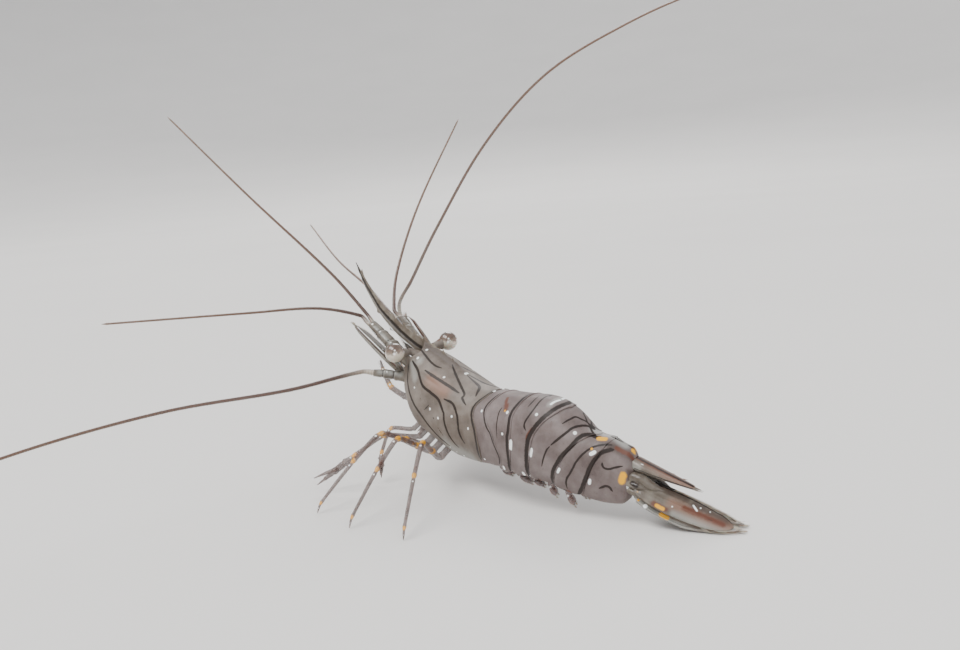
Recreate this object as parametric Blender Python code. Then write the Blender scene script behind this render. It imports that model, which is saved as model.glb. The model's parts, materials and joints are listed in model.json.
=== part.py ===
"""A rockpool prawn at life size, standing on its walking legs and tail fan.

Head towards -Y, the animal's left towards +X, up is +Z.  The trunk is one smooth
form along a curved spine, parted where its shell plates meet.
"""
import math

import bmesh
import bpy
from mathutils import Matrix, Vector

MM = 0.001
GAP = 0.1 * MM              # between neighbouring pieces
WELD = 0.001 * MM           # points nearer than this are one
CUT_DEPTH = 0.12 * MM       # what touches the ground is made this much too long, then cut flat

# ---- Pose of the trunk.  Stations run backwards from the neck bend, just ahead of the
# carapace's rear rim.
HEAD_PITCH = 26.0           # degrees that the head is raised
NECK = -2.5 * MM            # in front of this station the trunk is straight
GROUND = -7.1 * MM          # level of the ground under the neck bend
SPINE_STEP = 0.1 * MM
# station in mm, slope down to the rear and bend to the animal's right, in degrees
POSE = (
    (-2.5, 26, 0), (0.0, 9, -3), (1.2, -1, -3), (4.1, 0, -1), (7.8, 4, 4),
    (11.2, 30, 9), (13.9, 32, 12), (17.2, 12, 15), (19.8, 8, 17), (22.8, 17, 20),
)

# ---- Trunk sections: station, half width, top, bottom, all in mm from the spine
SECTIONS = (
    (-11.9, 2.0, 2.25, -2.3), (-10.8, 2.5, 2.45, -2.9), (-9.0, 3.0, 2.65, -4.0),
    (-7.0, 3.35, 2.75, -4.9), (-4.0, 3.55, 3.00, -5.1), (-1.5, 3.5, 3.30, -4.8),
    (0.0, 3.4, 3.35, -4.4), (2.4, 3.4, 3.45, -4.1), (5.8, 3.4, 3.55, -4.3),
    (9.8, 3.0, 3.75, -4.3), (12.6, 2.5, 3.15, -3.7), (15.1, 2.05, 3.80, -2.8),
    (17.3, 1.75, 3.60, -2.2), (19.5, 1.5, 3.20, -1.5),
)
RING_POINTS = 22
UPPER_ROUNDNESS = 1.95      # exponent of the section above the spine
LOWER_ROUNDNESS = 3.0       # and below it, where the sides drop straighter
GROOVE = 0.8 * MM           # hollow between the two side flaps, underneath
GROOVE_SHARE = 0.72         # its share of the half width

FRONT = -11.9 * MM          # front rim of the carapace
REAR = 1.4 * MM             # and its rear rim
CARAPACE_RINGS = 13
# rear end of each tail segment in mm, and how far its side flaps hang down
SEGMENTS = ((3.6, 0.1), (6.5, 0.35), (9.6, 0.3), (12.4, 0.3), (14.8, 0.25), (18.9, 0.0))
SEGMENT_RINGS = 5

# ---- Head.  Places are (forward, to the side, up) in mm from the neck bend.
ROSTRUM_THICKNESS = 0.6 * MM
ROSTRUM_TOP = ((6.4, 3.0), (9.0, 3.05), (11.5, 2.85), (14.0, 2.5), (17.0, 2.3),
               (20.0, 2.65), (23.0, 3.5), (26.6, 5.0))
ROSTRUM_SOCKET = ((9.0, 2.78), (11.2, 2.55), (12.1, 2.2))       # the edge along the carapace
ROSTRUM_BELOW = ((12.6, 0.9), (15.0, 0.7), (18.0, 0.85), (21.0, 1.6), (24.0, 3.0), (26.4, 4.6))
TEETH_ABOVE = (7.4, 9.1, 10.8, 12.5, 14.3, 16.2, 18.3)
TEETH_BELOW = (15.5, 18.2, 21.0)
TOOTH_LENGTH = 0.8
TOOTH_HEIGHT = 0.42
TOOTH_FRONT = 0.08          # mm, the steep front of a tooth
ROSTRUM_STEPS = 14

EYE_RADIUS = 1.05 * MM
EYE = (12.45, 3.7, 1.75)
EYE_STEPS = (16, 10)        # round the eye, and from pole to pole
STALK_SPACING = 0.5 * MM
STALK = ((12.75, 0.75, 1.15, 0.42), (12.7, 1.8, 1.3, 0.5), (12.6, 2.5, 1.45, 0.6))

ANTENNULE = ((12.1, 1.12, -0.40, 0.55), (14.2, 1.5, 0.25, 0.82), (16.8, 1.75, 0.75, 0.74),
             (19.4, 1.9, 1.1, 0.58))
SCALE_BASE = (12.9, 2.4, -0.75)
SCALE_TIP = (20.6, 3.6, 0.85)
SCALE_WIDTH = 2.7 * MM
SCALE_ROLL = 22.0           # degrees that the outer edge is raised
SCALE_OUTER_SHARE = 0.3     # of the width that lies outside the line from root to tip
BLADE = 0.5 * MM            # thickness of scales and tail blades
LEAF_STEPS = 9
LEAF_ROOT = 0.28            # half width of a blade at its root, beside its widest
LEAF_TIP = 0.12             # and at its tip
LEAF_BULGE = 0.8            # under 1 moves the widest place towards the root
LEAF_FULLNESS = 0.6         # under 1 makes the sides fuller

MAXILLIPED = ((10.6, 0.9, -4.0, 0.36), (12.2, 1.3, -4.3, 0.36), (14.4, 1.5, -4.5, 0.32),
              (16.4, 1.3, -3.7, 0.28), (17.6, 1.1, -2.9, 0.25))

# ---- Feelers, in mm: the head places above for the base, then (x, y, height above ground)
ANTENNA_STEM_LEFT = ((12.15, 2.1, -1.5, 0.5), (13.3, 3.2, -1.65, 0.5), (14.4, 4.5, -1.85, 0.4))
ANTENNA_STEM_RIGHT = ((12.15, -2.1, -1.5, 0.5), (14.3, -2.8, -1.8, 0.5), (16.4, -3.3, -1.8, 0.4))
ANTENNA_LEFT = ((14.0, -15.4, 11.6), (27.0, -18.0, 11.7), (42.0, -18.2, 10.8), (58.0, -14.0, 9.2),
                (72.0, -6.0, 7.6), (83.0, 4.0, 6.2))
ANTENNA_RIGHT = ((-4.0, -19.6, 17.4), (-5.2, -18.2, 20.6), (-8.0, -16.2, 26.4),
                 (-12.0, -11.2, 35.5), (-15.0, -3.7, 42.4), (-18.0, 5.8, 46.5),
                 (-20.5, 14.5, 48.6), (-23.5, 26.0, 49.2), (-26.5, 37.0, 48.0))
ANTENNA_LENGTHS = 3
ANTENNULE_WHIPS = {
    "antennule_left_outer": ((8.0, -18.0, 19.2), (17.0, -16.4, 20.2), (33.0, -14.0, 21.8)),
    "antennule_left_inner": ((3.8, -21.3, 22.4), (9.0, -28.7, 31.7), (14.0, -37.0, 41.7)),
    "antennule_right_outer": ((-6.0, -22.0, 21.5), (-10.0, -22.0, 29.0), (-15.0, -19.0, 39.0)),
    "antennule_right_inner": ((-3.6, -25.0, 19.6), (-6.0, -35.0, 22.5), (-9.0, -46.0, 27.0)),
}
WHIP_RADIUS = 0.28          # mm at the root of a feeler
WHIP_TIP_RADIUS = 0.25      # mm at its tip
WHIP_SPACING = 3.0 * MM
WHIP_OFFSET = 0.34          # mm from the middle of a stem's end to each of its two feelers
# the first bend of those feelers: forward in mm, times the offset to the side, and up in mm
WHIP_LEAD = (1.6, 1.3, 0.2)
ANTENNA_LEAD = 1.2 * MM     # straight stretch at an antenna's root

# ---- Limbs: place of each root on the head frame in mm, then joints (x, y, height) in mm
LEG_ROOTS = {1: (8.4, 1.1, -4.7), 2: (7.2, 1.2, -4.9), 3: (5.9, 1.3, -5.0), 4: (4.6, 1.35, -5.0),
             5: (3.3, 1.3, -4.95)}
HIP_DROP = (0.0, 1.25, -1.3)            # from the root to the hip, past the side flap
CLAW_JOINTS = {
    "leg_1_left": ((3.9, -12.4, 5.6), (5.2, -12.6, 3.0), (6.2, -11.6, 0.6)),
    "leg_1_right": ((-3.6, -14.0, 5.8), (-4.6, -17.0, 3.8), (-5.0, -19.4, 1.4)),
    "leg_2_left": ((5.9, -10.8, 5.5), (9.0, -12.2, 3.7), (12.5, -14.6, 0.9)),
    "leg_2_right": ((-6.4, -12.4, 6.4), (-8.8, -16.0, 4.6), (-10.6, -20.4, 1.2)),
}
FEET = {"leg_3_left": (16.0, -9.0), "leg_4_left": (16.4, -2.6), "leg_5_left": (15.0, 4.2),
        "leg_3_right": (-12.2, -13.4), "leg_4_right": (-14.2, -5.2), "leg_5_right": (-12.6, 4.2)}
KNEE_SHARE = 0.40           # of the way from hip to foot
KNEE_HEIGHT = 6.6           # mm above ground
SHIN_SHARE = 0.66
SHIN_HEIGHT = 4.3
TOE_HEIGHT = 0.8            # mm, the last of the toe stands upright
LEG_RADII = (0.42, 0.42, 0.38, 0.32, 0.27, 0.26)
LIMB_SPACING = 1.1 * MM
CLAW_OPEN = 19.0            # degrees between the two fingers of a claw
CLAW_THICKNESS = {1: 0.9, 2: 1.1}       # of the first and second pair, beside a plain limb
CLAW_RADII = (0.38, 0.36, 0.32, 0.30, 0.46, 0.42)       # mm, from the root to the palm's end
FINGER_SPACING = 0.6 * MM
FINGER_SHARE = 0.45         # of the length beyond the wrist
FINGER_ROOT = 0.7           # share of the palm where the second finger starts
FINGER_TAPER = 0.6          # share of a finger that keeps its thickness
PALM_MIDDLE = 0.45          # share of the palm at its thickest
KNEE_GAP = 1.5 * GAP

# ---- Swimmerets: one pair under each of the first five segments
# station, length in mm, droop in degrees
SWIMMERETS = ((2.4, 2.0, 18), (4.9, 2.4, 18), (7.1, 1.8, 20), (11.4, 1.4, 22), (13.5, 1.5, 20))
SWIMMERET_POINTS = 10
SWIMMERET_DROP = 0.5        # mm from the shell above to the cross bar
PADDLE_DROP = 0.3           # mm from the cross bar to the paddles
PADDLE_TILT = Vector((0, 0.35, 1))      # what the paddles' faces look towards
# half a pair: sideways in mm, share of the length, half width and half thickness in mm
PADDLE = ((0.0, 0.0, 0.26, 0.26), (0.7, 0.0, 0.3, 0.3), (1.0, 0.2, 0.45, 0.3),
          (1.1, 0.6, 0.62, 0.27), (1.0, 1.0, 0.3, 0.25))

# ---- Tail fan, in the frame at the rear of the last segment
# back, half width and half height, all in mm
TELSON_SECTIONS = ((0.0, 0.95, 0.6), (2.0, 0.85, 0.5), (4.0, 0.6, 0.38), (5.5, 0.32, 0.27))
TELSON_POINTS = 12
TELSON_RISE = 1.9           # mm
TELSON_SLOPE = 0.16         # mm it sinks in each mm
BLADE_ROOT = 0.35           # mm behind the last segment
TAIL_OUTER_SHARE = 0.4
# name, length and width in mm, side and height of the root, spread, slope and roll in degrees
TAIL_BLADES = (
    ("uropod_left_inner", 9.2, 2.4, 1.25, 0.6, -8, 14.2, 43),
    ("uropod_left_outer", 9.8, 2.1, 1.15, -0.15, -8, 14.6, 43),
    ("uropod_right_inner", 8.8, 2.4, 1.25, 0.25, 3, 13.2, 43),
    ("uropod_right_outer", 9.4, 2.1, 1.15, -0.5, 3, 13.6, 43),
)

# ---- Colours and finish: base colour, roughness
FINISHES = {
    "shell": ((0.40, 0.36, 0.33), 0.25),
    "clear_shell": ((0.55, 0.50, 0.42), 0.2),
    "feeler": ((0.36, 0.20, 0.11), 0.35),
    "limb": ((0.50, 0.44, 0.38), 0.3),
    "eye": ((0.10, 0.08, 0.06), 0.08),
}


def smooth(rows, at):
    """Values at a place on the smooth curve through rows of (place, value, value, ...)."""
    at = min(max(at, rows[0][0]), rows[-1][0])
    i = next(k for k in range(len(rows) - 1) if at <= rows[k + 1][0])
    near, far = rows[i], rows[i + 1]
    before, after = rows[max(i - 1, 0)], rows[min(i + 2, len(rows) - 1)]
    span = far[0] - near[0]
    t = (at - near[0]) / span
    values = []
    for p, q, r, s in zip(before[1:], near[1:], far[1:], after[1:]):
        leave = (r - p) / (far[0] - before[0]) * span
        arrive = (s - q) / (after[0] - near[0]) * span
        values.append((2 * t**3 - 3 * t**2 + 1) * q + (t**3 - 2 * t**2 + t) * leave
                      + (3 * t**2 - 2 * t**3) * r + (t**3 - t**2) * arrive)
    return values


def turn(slope, bend):
    """Rotation of a trunk section: +Y runs backwards, sloping down and bending right."""
    return Matrix.Rotation(math.radians(bend), 4, "Z") @ Matrix.Rotation(math.radians(-slope), 4, "X")


HEAD = turn(HEAD_PITCH, 0)


def spine(station):
    """Frame of the trunk at a station."""
    point = HEAD @ Vector((0, min(station, NECK), 0))
    if station <= NECK:
        return Matrix.Translation(point) @ HEAD
    steps = max(1, round((station - NECK) / SPINE_STEP))
    step = (station - NECK) / steps
    for i in range(steps):
        slope, bend = smooth(POSE, (NECK + (i + 0.5) * step) / MM)
        point = point + turn(slope, bend) @ Vector((0, step, 0))
    slope, bend = smooth(POSE, station / MM)
    return Matrix.Translation(point) @ turn(slope, bend)


def head_place(forward, side, up):
    """A place given in mm on the head, in metres."""
    return HEAD @ (Vector((side, -forward, up)) * MM)


def ground_place(x, y, height):
    """A place given in mm, with its height above the ground, in metres."""
    return Vector((x * MM, y * MM, height * MM + GROUND))


def superpower(value, exponent):
    """One coordinate of a superellipse."""
    return math.copysign(abs(value) ** (2 / exponent), value)


def trunk_ring(station, flap=0.0):
    """Closed section of the trunk at a station, its side flaps hanging `flap` lower."""
    half_width, top, bottom = (value * MM for value in smooth(SECTIONS, station / MM))
    bottom -= flap
    frame = spine(station)
    ring = []
    for i in range(RING_POINTS):
        angle = math.tau * i / RING_POINTS
        across, up = math.cos(angle), math.sin(angle)
        if up >= 0:
            x = half_width * superpower(across, UPPER_ROUNDNESS)
            z = top * superpower(up, UPPER_ROUNDNESS)
        else:
            x = half_width * superpower(across, LOWER_ROUNDNESS)
            z = -bottom * superpower(up, LOWER_ROUNDNESS)
            hollow = max(0.0, 1 - (x / (half_width * GROOVE_SHARE)) ** 2)
            z += (GROOVE + flap) * hollow
        ring.append(frame @ Vector((x, 0, z)))
    return ring


def finish(name):
    """The material called `name`, made when it is first asked for."""
    if name in bpy.data.materials:
        return bpy.data.materials[name]
    material = bpy.data.materials.new(name)
    material.use_nodes = True
    colour, roughness = FINISHES[name]
    shader = material.node_tree.nodes["Principled BSDF"]
    shader.inputs["Base Color"].default_value = (*colour, 1)
    shader.inputs["Roughness"].default_value = roughness
    shader.inputs["Metallic"].default_value = 0.0
    return material


def add_object(name, data, finish_name):
    """An object in the prawn's collection, with one material."""
    obj = bpy.data.objects.new(name, data)
    data.materials.clear()
    data.materials.append(finish(finish_name))
    bpy.data.collections["rockpool_prawn"].objects.link(obj)
    return obj


def loft(name, rings, finish_name):
    """A closed body through a row of rings: the first one is extruded from each to the next."""
    shape = bmesh.new()
    row = bmesh.ops.create_circle(shape, segments=len(rings[0]), radius=1.0)["verts"]
    for vert, place in zip(row, rings[0]):
        vert.co = place
    edges = list(shape.edges)
    bmesh.ops.contextual_create(shape, geom=edges)
    for ring in rings[1:]:
        grown = bmesh.ops.extrude_edge_only(shape, edges=edges)["geom"]
        edges = [item for item in grown if isinstance(item, bmesh.types.BMEdge)]
        new = {item for item in grown if isinstance(item, bmesh.types.BMVert)}
        edges = [edge for edge in edges if edge.verts[0] in new and edge.verts[1] in new]
        row = [next(edge.other_vert(old) for edge in old.link_edges if edge.other_vert(old) in new)
               for old in row]
        for vert, place in zip(row, ring):
            vert.co = place
    bmesh.ops.contextual_create(shape, geom=edges)
    bmesh.ops.recalc_face_normals(shape, faces=shape.faces)
    mesh = bpy.data.meshes.new(name)
    shape.to_mesh(mesh)
    shape.free()
    mesh.shade_smooth()
    return add_object(name, mesh, finish_name)


def route(joints):
    """Rows of (length so far, x, y, z, radius) through joints of (place, radius in mm)."""
    rows, length, last = [], 0.0, joints[0][0]
    for place, radius in joints:
        length += (place - last).length
        rows.append((length, *place, radius * MM))
        last = place
    return rows


def tube(name, rows, start, end, spacing, finish_name):
    """A round tapering limb or feeler along a stretch of a route."""
    curve = bpy.data.curves.new(name, "CURVE")
    curve.dimensions = "3D"
    curve.bevel_depth = 1.0
    curve.bevel_resolution = 2
    curve.use_fill_caps = True
    count = max(2, math.ceil((end - start) / spacing))
    spline = curve.splines.new("POLY")
    spline.points.add(count)
    for i, point in enumerate(spline.points):
        x, y, z, radius = smooth(rows, start + (end - start) * i / count)
        point.co = (x, y, z, 1)
        point.radius = radius
    return add_object(name, curve, finish_name)


def flat_blade(name, outline, thickness, frame, finish_name):
    """A flat piece: a closed outline in mm, extruded to its thickness."""
    curve = bpy.data.curves.new(name, "CURVE")
    curve.dimensions = "2D"
    curve.fill_mode = "BOTH"
    curve.extrude = thickness / 2
    spline = curve.splines.new("POLY")
    spline.points.add(len(outline) - 1)
    for point, (x, y) in zip(spline.points, outline):
        point.co = (x * MM, y * MM, 0, 1)
    spline.use_cyclic_u = True
    obj = add_object(name, curve, finish_name)
    obj.matrix_world = frame
    return obj


def as_mesh(obj):
    """The same piece as a welded mesh object."""
    bpy.context.view_layer.update()
    evaluated = obj.evaluated_get(bpy.context.evaluated_depsgraph_get())
    mesh = bpy.data.meshes.new_from_object(evaluated)
    mesh.transform(obj.matrix_world)
    name = obj.name
    bpy.data.objects.remove(obj)
    shape = bmesh.new()
    shape.from_mesh(mesh)
    bmesh.ops.remove_doubles(shape, verts=shape.verts, dist=WELD)
    shape.to_mesh(mesh)
    shape.free()
    mesh.name = name
    made = bpy.data.objects.new(name, mesh)
    bpy.data.collections["rockpool_prawn"].objects.link(made)
    return made


def cut_on_ground(obj):
    """Cuts a piece flat at the ground, for a small level foot."""
    made = as_mesh(obj)
    shape = bmesh.new()
    shape.from_mesh(made.data)
    everything = list(shape.verts) + list(shape.edges) + list(shape.faces)
    bmesh.ops.bisect_plane(shape, geom=everything, plane_co=(0, 0, GROUND), plane_no=(0, 0, -1),
                           clear_outer=True)
    rim = [edge for edge in shape.edges if edge.is_boundary]
    bmesh.ops.holes_fill(shape, edges=rim, sides=0)
    bmesh.ops.recalc_face_normals(shape, faces=shape.faces)
    shape.to_mesh(made.data)
    shape.free()
    return made


def make_trunk():
    """Carapace and the six segments of the tail."""
    length = REAR - GAP / 2 - FRONT
    stations = [FRONT + length * i / (CARAPACE_RINGS - 1) for i in range(CARAPACE_RINGS)]
    loft("carapace", [trunk_ring(station) for station in stations], "shell")
    start = REAR / MM
    for number, (end, flap) in enumerate(SEGMENTS, 1):
        first, last = start * MM + GAP / 2, end * MM - GAP / 2
        rings = []
        for i in range(SEGMENT_RINGS):
            share = i / (SEGMENT_RINGS - 1)
            hang = flap * MM * math.sin(math.pi * share) if 0 < share < 1 else 0.0
            rings.append(trunk_ring(first + (last - first) * share, hang))
        loft(f"abdomen_{number}", rings, "shell")
        start = end


def toothed_edge(line, teeth, side):
    """Points along an edge, from the back forwards, with a tooth at each given place."""
    stops = {line[0][0] + (line[-1][0] - line[0][0]) * i / ROSTRUM_STEPS: 0.0
             for i in range(ROSTRUM_STEPS + 1)}
    for place in teeth:
        low, high = place - TOOTH_LENGTH, place + TOOTH_FRONT
        stops = {x: rise for x, rise in stops.items() if x < low or x > high}
        stops.update({low: 0.0, place: TOOTH_HEIGHT, high: 0.0})
    return [(x, smooth(line, x)[0] + side * stops[x]) for x in sorted(stops)]


def make_rostrum():
    """The toothed blade of the snout, which starts as a crest on the carapace."""
    above = toothed_edge(ROSTRUM_TOP, TEETH_ABOVE, 1)
    below = toothed_edge(ROSTRUM_BELOW, TEETH_BELOW, -1)
    outline = above + below[::-1] + list(ROSTRUM_SOCKET[::-1])
    axes = Matrix(((0, 0, -1, 0), (-1, 0, 0, 0), (0, 1, 0, 0), (0, 0, 0, 1)))
    flat_blade("rostrum", outline, ROSTRUM_THICKNESS, HEAD @ axes, "clear_shell")


def make_eyes(name, side):
    """An eyeball on its short stalk."""
    forward, out, up = EYE
    shape = bmesh.new()
    bmesh.ops.create_uvsphere(shape, u_segments=EYE_STEPS[0], v_segments=EYE_STEPS[1],
                              radius=EYE_RADIUS)
    shape.transform(Matrix.Translation(head_place(forward, side * out, up)))
    mesh = bpy.data.meshes.new(f"eye_{name}")
    shape.to_mesh(mesh)
    shape.free()
    mesh.shade_smooth()
    add_object(f"eye_{name}", mesh, "eye")
    rows = route([(head_place(f, side * s, u), r) for f, s, u, r in STALK])
    tube(f"eyestalk_{name}", rows, 0, rows[-1][0], STALK_SPACING, "shell")


def make_antennule(name, side):
    """The three-jointed stem of an antennule and its two feelers."""
    rows = route([(head_place(f, side * s, u), r) for f, s, u, r in ANTENNULE])
    tube(f"antennule_{name}", rows, 0, rows[-1][0], LIMB_SPACING, "clear_shell")
    forward, out, up, _ = ANTENNULE[-1]
    for branch, offset in (("outer", WHIP_OFFSET), ("inner", -WHIP_OFFSET)):
        root = head_place(forward + GAP / MM, side * (out + offset), up)
        lead = head_place(forward + WHIP_LEAD[0], side * (out + WHIP_LEAD[1] * offset), up + WHIP_LEAD[2])
        points = ANTENNULE_WHIPS[f"antennule_{name}_{branch}"]
        places = [root, lead] + [ground_place(*point) for point in points]
        radii = [WHIP_RADIUS] * 2 + [WHIP_TIP_RADIUS] * len(points)
        rows = route(list(zip(places, radii)))
        tube(f"antennule_{name}_{branch}", rows, 0, rows[-1][0], WHIP_SPACING, "feeler")


def make_antenna(name, stem, points):
    """The stem of an antenna and its long feeler, in equal lengths."""
    rows = route([(head_place(*place[:3]), place[3]) for place in stem])
    tube(f"antenna_{name}_stem", rows, 0, rows[-1][0], LIMB_SPACING, "clear_shell")
    tip, before = head_place(*stem[-1][:3]), head_place(*stem[-2][:3])
    ahead = (tip - before).normalized()
    places = [tip + ahead * GAP, tip + ahead * ANTENNA_LEAD] + [ground_place(*point) for point in points]
    radii = [WHIP_RADIUS] * 2 + [WHIP_TIP_RADIUS] * len(points)
    rows = route(list(zip(places, radii)))
    length = rows[-1][0] / ANTENNA_LENGTHS
    for number in range(ANTENNA_LENGTHS):
        start = length * number + (GAP if number else 0)
        tube(f"antenna_{name}_{number + 1}", rows, start, length * (number + 1), WHIP_SPACING, "feeler")


def leaf_half(share):
    """Half width of a blade, beside its widest, at a share of its length."""
    if share == 1:
        return LEAF_TIP
    return LEAF_ROOT + (1 - LEAF_ROOT) * math.sin(math.pi * share ** LEAF_BULGE) ** LEAF_FULLNESS


def leaf(length, width, straight):
    """Outline of a blade, `straight` being the share of its width on the first side."""
    halves = [(length * i / LEAF_STEPS, width * leaf_half(i / LEAF_STEPS)) for i in range(LEAF_STEPS + 1)]
    out = [(x, y * straight) for x, y in halves]
    back = [(x, -y * (1 - straight)) for x, y in reversed(halves)]
    return out + back


def aim(origin, along, upwards):
    """A frame whose X runs along a direction and whose Z is near `upwards`."""
    x = along.normalized()
    y = upwards.cross(x).normalized()
    z = x.cross(y)
    axes = Matrix((x, y, z)).transposed().to_4x4()
    return Matrix.Translation(origin) @ axes


def make_scale(name, side):
    """The broad blade beside the base of an antenna."""
    base = head_place(SCALE_BASE[0], side * SCALE_BASE[1], SCALE_BASE[2])
    tip = head_place(SCALE_TIP[0], side * SCALE_TIP[1], SCALE_TIP[2])
    roll = Matrix.Rotation(math.radians(side * SCALE_ROLL), 3, (tip - base).normalized())
    upwards = roll @ (HEAD.to_3x3() @ Vector((0, 0, 1)))
    frame = aim(base, tip - base, upwards)
    straight = SCALE_OUTER_SHARE if side > 0 else 1 - SCALE_OUTER_SHARE
    outline = leaf((tip - base).length / MM, SCALE_WIDTH / MM, straight)
    flat_blade(f"antennal_scale_{name}", outline, BLADE, frame, "clear_shell")


def make_maxilliped(name, side):
    """The leg-like mouth limb that reaches forward under the head."""
    rows = route([(head_place(f, side * s, u), r) for f, s, u, r in MAXILLIPED])
    tube(f"maxilliped_{name}", rows, 0, rows[-1][0], LIMB_SPACING, "limb")


def limb_start(number, side):
    """Root and hip of a leg."""
    forward, out, up = LEG_ROOTS[number]
    root = head_place(forward, side * out, up)
    hip = head_place(forward + HIP_DROP[0], side * (out + HIP_DROP[1]), up + HIP_DROP[2])
    return [root, hip]


def make_limb(name, places, radii):
    """A leg in two lengths that meet at the knee, the third of its joints after the root."""
    rows = route(list(zip(places, radii)))
    knee = rows[2][0]
    tube(f"{name}_upper", rows, 0, knee - KNEE_GAP, LIMB_SPACING, "limb")
    return tube(f"{name}_lower", rows, knee + KNEE_GAP, rows[-1][0], LIMB_SPACING, "limb")


def make_walking_leg(number, name, side):
    """A leg whose toe stands on the ground."""
    root, hip = limb_start(number, side)
    label = f"leg_{number}_{name}"
    foot = ground_place(*FEET[label], 0)
    level = ground_place(hip.x / MM, hip.y / MM, 0)
    knee = level.lerp(foot, KNEE_SHARE) + Vector((0, 0, KNEE_HEIGHT * MM))
    shin = level.lerp(foot, SHIN_SHARE) + Vector((0, 0, SHIN_HEIGHT * MM))
    toe = foot + Vector((0, 0, TOE_HEIGHT * MM))
    end = foot - Vector((0, 0, CUT_DEPTH))
    cut_on_ground(make_limb(label, [root, hip, knee, shin, toe, end], LEG_RADII))


def make_claw_leg(number, name, side):
    """A leg that ends in a palm with a fixed finger and a second one beside it."""
    label = f"leg_{number}_{name}"
    knee, wrist, tip = (ground_place(*joint) for joint in CLAW_JOINTS[label])
    palm_end = wrist.lerp(tip, 1 - FINGER_SHARE)
    thick = CLAW_THICKNESS[number]
    radii = [thick * radius for radius in CLAW_RADII] + [WHIP_RADIUS, WHIP_TIP_RADIUS]
    places = limb_start(number, side)
    places += [knee, wrist, wrist.lerp(palm_end, PALM_MIDDLE), palm_end,
               palm_end.lerp(tip, 1 - FINGER_TAPER), tip]
    arm = as_mesh(make_limb(label, places, radii))
    axis = (tip - wrist).cross(Vector((0, 0, 1))).normalized()
    swing = Matrix.Rotation(math.radians(CLAW_OPEN), 3, axis)
    root = wrist.lerp(palm_end, FINGER_ROOT)
    end = root + swing @ (tip - root)
    bend = root.lerp(end, FINGER_TAPER)
    rows = route([(root, WHIP_RADIUS), (bend, WHIP_RADIUS), (end, WHIP_TIP_RADIUS)])
    finger = as_mesh(tube("finger", rows, 0, rows[-1][0], FINGER_SPACING, "limb"))
    join = arm.modifiers.new("finger", "BOOLEAN")
    join.operation = "UNION"
    join.solver = "EXACT"
    join.object = finger
    arm = as_mesh(arm)
    bpy.data.objects.remove(finger)


def oval(frame, half_width, half_height, count, across, up):
    """A ring of points on an ellipse, its sizes in mm along two unit directions."""
    ring = []
    for i in range(count):
        angle = math.tau * i / count
        place = across * (half_width * math.cos(angle)) + up * (half_height * math.sin(angle))
        ring.append(frame @ (place * MM))
    return ring


def make_swimmerets():
    """A pair of paddles under each of the first five segments, joined by a cross bar."""
    side, up = Vector((0, 1, 0)), Vector((0, 0, 1))
    for number, (station, length, droop) in enumerate(SWIMMERETS, 1):
        level = smooth(SECTIONS, station)[2] + GROOVE / MM - SWIMMERET_DROP
        fall = math.tan(math.radians(droop))
        half = []
        for x, share, wide, thick in PADDLE:
            drop = PADDLE_DROP + length * share * fall if share else 0.0
            half.append((Vector((x, length * share, level - drop)), wide, thick))
        line = [(Vector((-place.x, place.y, place.z)), *sizes) for place, *sizes in half[:0:-1]] + half
        rings = []
        for i, (place, wide, thick) in enumerate(line):
            before, after = line[max(i - 1, 0)][0], line[min(i + 1, len(line) - 1)][0]
            frame = spine(station * MM) @ aim(place * MM, after - before, PADDLE_TILT)
            rings.append(oval(frame, wide, thick, SWIMMERET_POINTS, side, up))
        loft(f"swimmerets_{number}", rings, "limb")


def make_tail_fan():
    """Telson and the four blades beside it."""
    rear = spine(SEGMENTS[-1][0] * MM)
    side, up = Vector((1, 0, 0)), Vector((0, 0, 1))
    rings = []
    for back, half_width, half_height in TELSON_SECTIONS:
        height = (TELSON_RISE - TELSON_SLOPE * back) * MM
        frame = rear @ Matrix.Translation((0, back * MM + GAP, height))
        rings.append(oval(frame, half_width, half_height, TELSON_POINTS, side, up))
    loft("telson", rings, "shell")
    for name, length, width, out, low, spread, slope, roll in TAIL_BLADES:
        side = 1 if "left" in name else -1
        root = rear @ (Vector((side * out, BLADE_ROOT, low)) * MM)
        swing = turn(slope, -side * spread)
        along = rear.to_3x3() @ swing.to_3x3() @ Vector((0, 1, 0))
        tilt = Matrix.Rotation(math.radians(side * roll), 3, along)
        upwards = tilt @ (rear.to_3x3() @ Vector((0, 0, 1)))
        outline = leaf(length, width, TAIL_OUTER_SHARE if side > 0 else 1 - TAIL_OUTER_SHARE)
        blade = flat_blade(name, outline, BLADE, aim(root, along, upwards), "clear_shell")
        if "outer" in name:
            cut_on_ground(blade)


def stand_on_origin():
    """Centres the prawn over the origin, with the ground at z = 0."""
    bpy.context.view_layer.update()
    depsgraph = bpy.context.evaluated_depsgraph_get()
    pieces = list(bpy.data.collections["rockpool_prawn"].objects)
    low, high = Vector((1, 1, 1)), Vector((-1, -1, -1))
    for piece in pieces:
        mesh = piece.evaluated_get(depsgraph).to_mesh()
        for vert in mesh.vertices:
            place = piece.matrix_world @ vert.co
            low = Vector(map(min, low, place))
            high = Vector(map(max, high, place))
    offset = Vector((-(low.x + high.x) / 2, -(low.y + high.y) / 2, -GROUND))
    for piece in pieces:
        piece.matrix_world = Matrix.Translation(offset) @ piece.matrix_world


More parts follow.
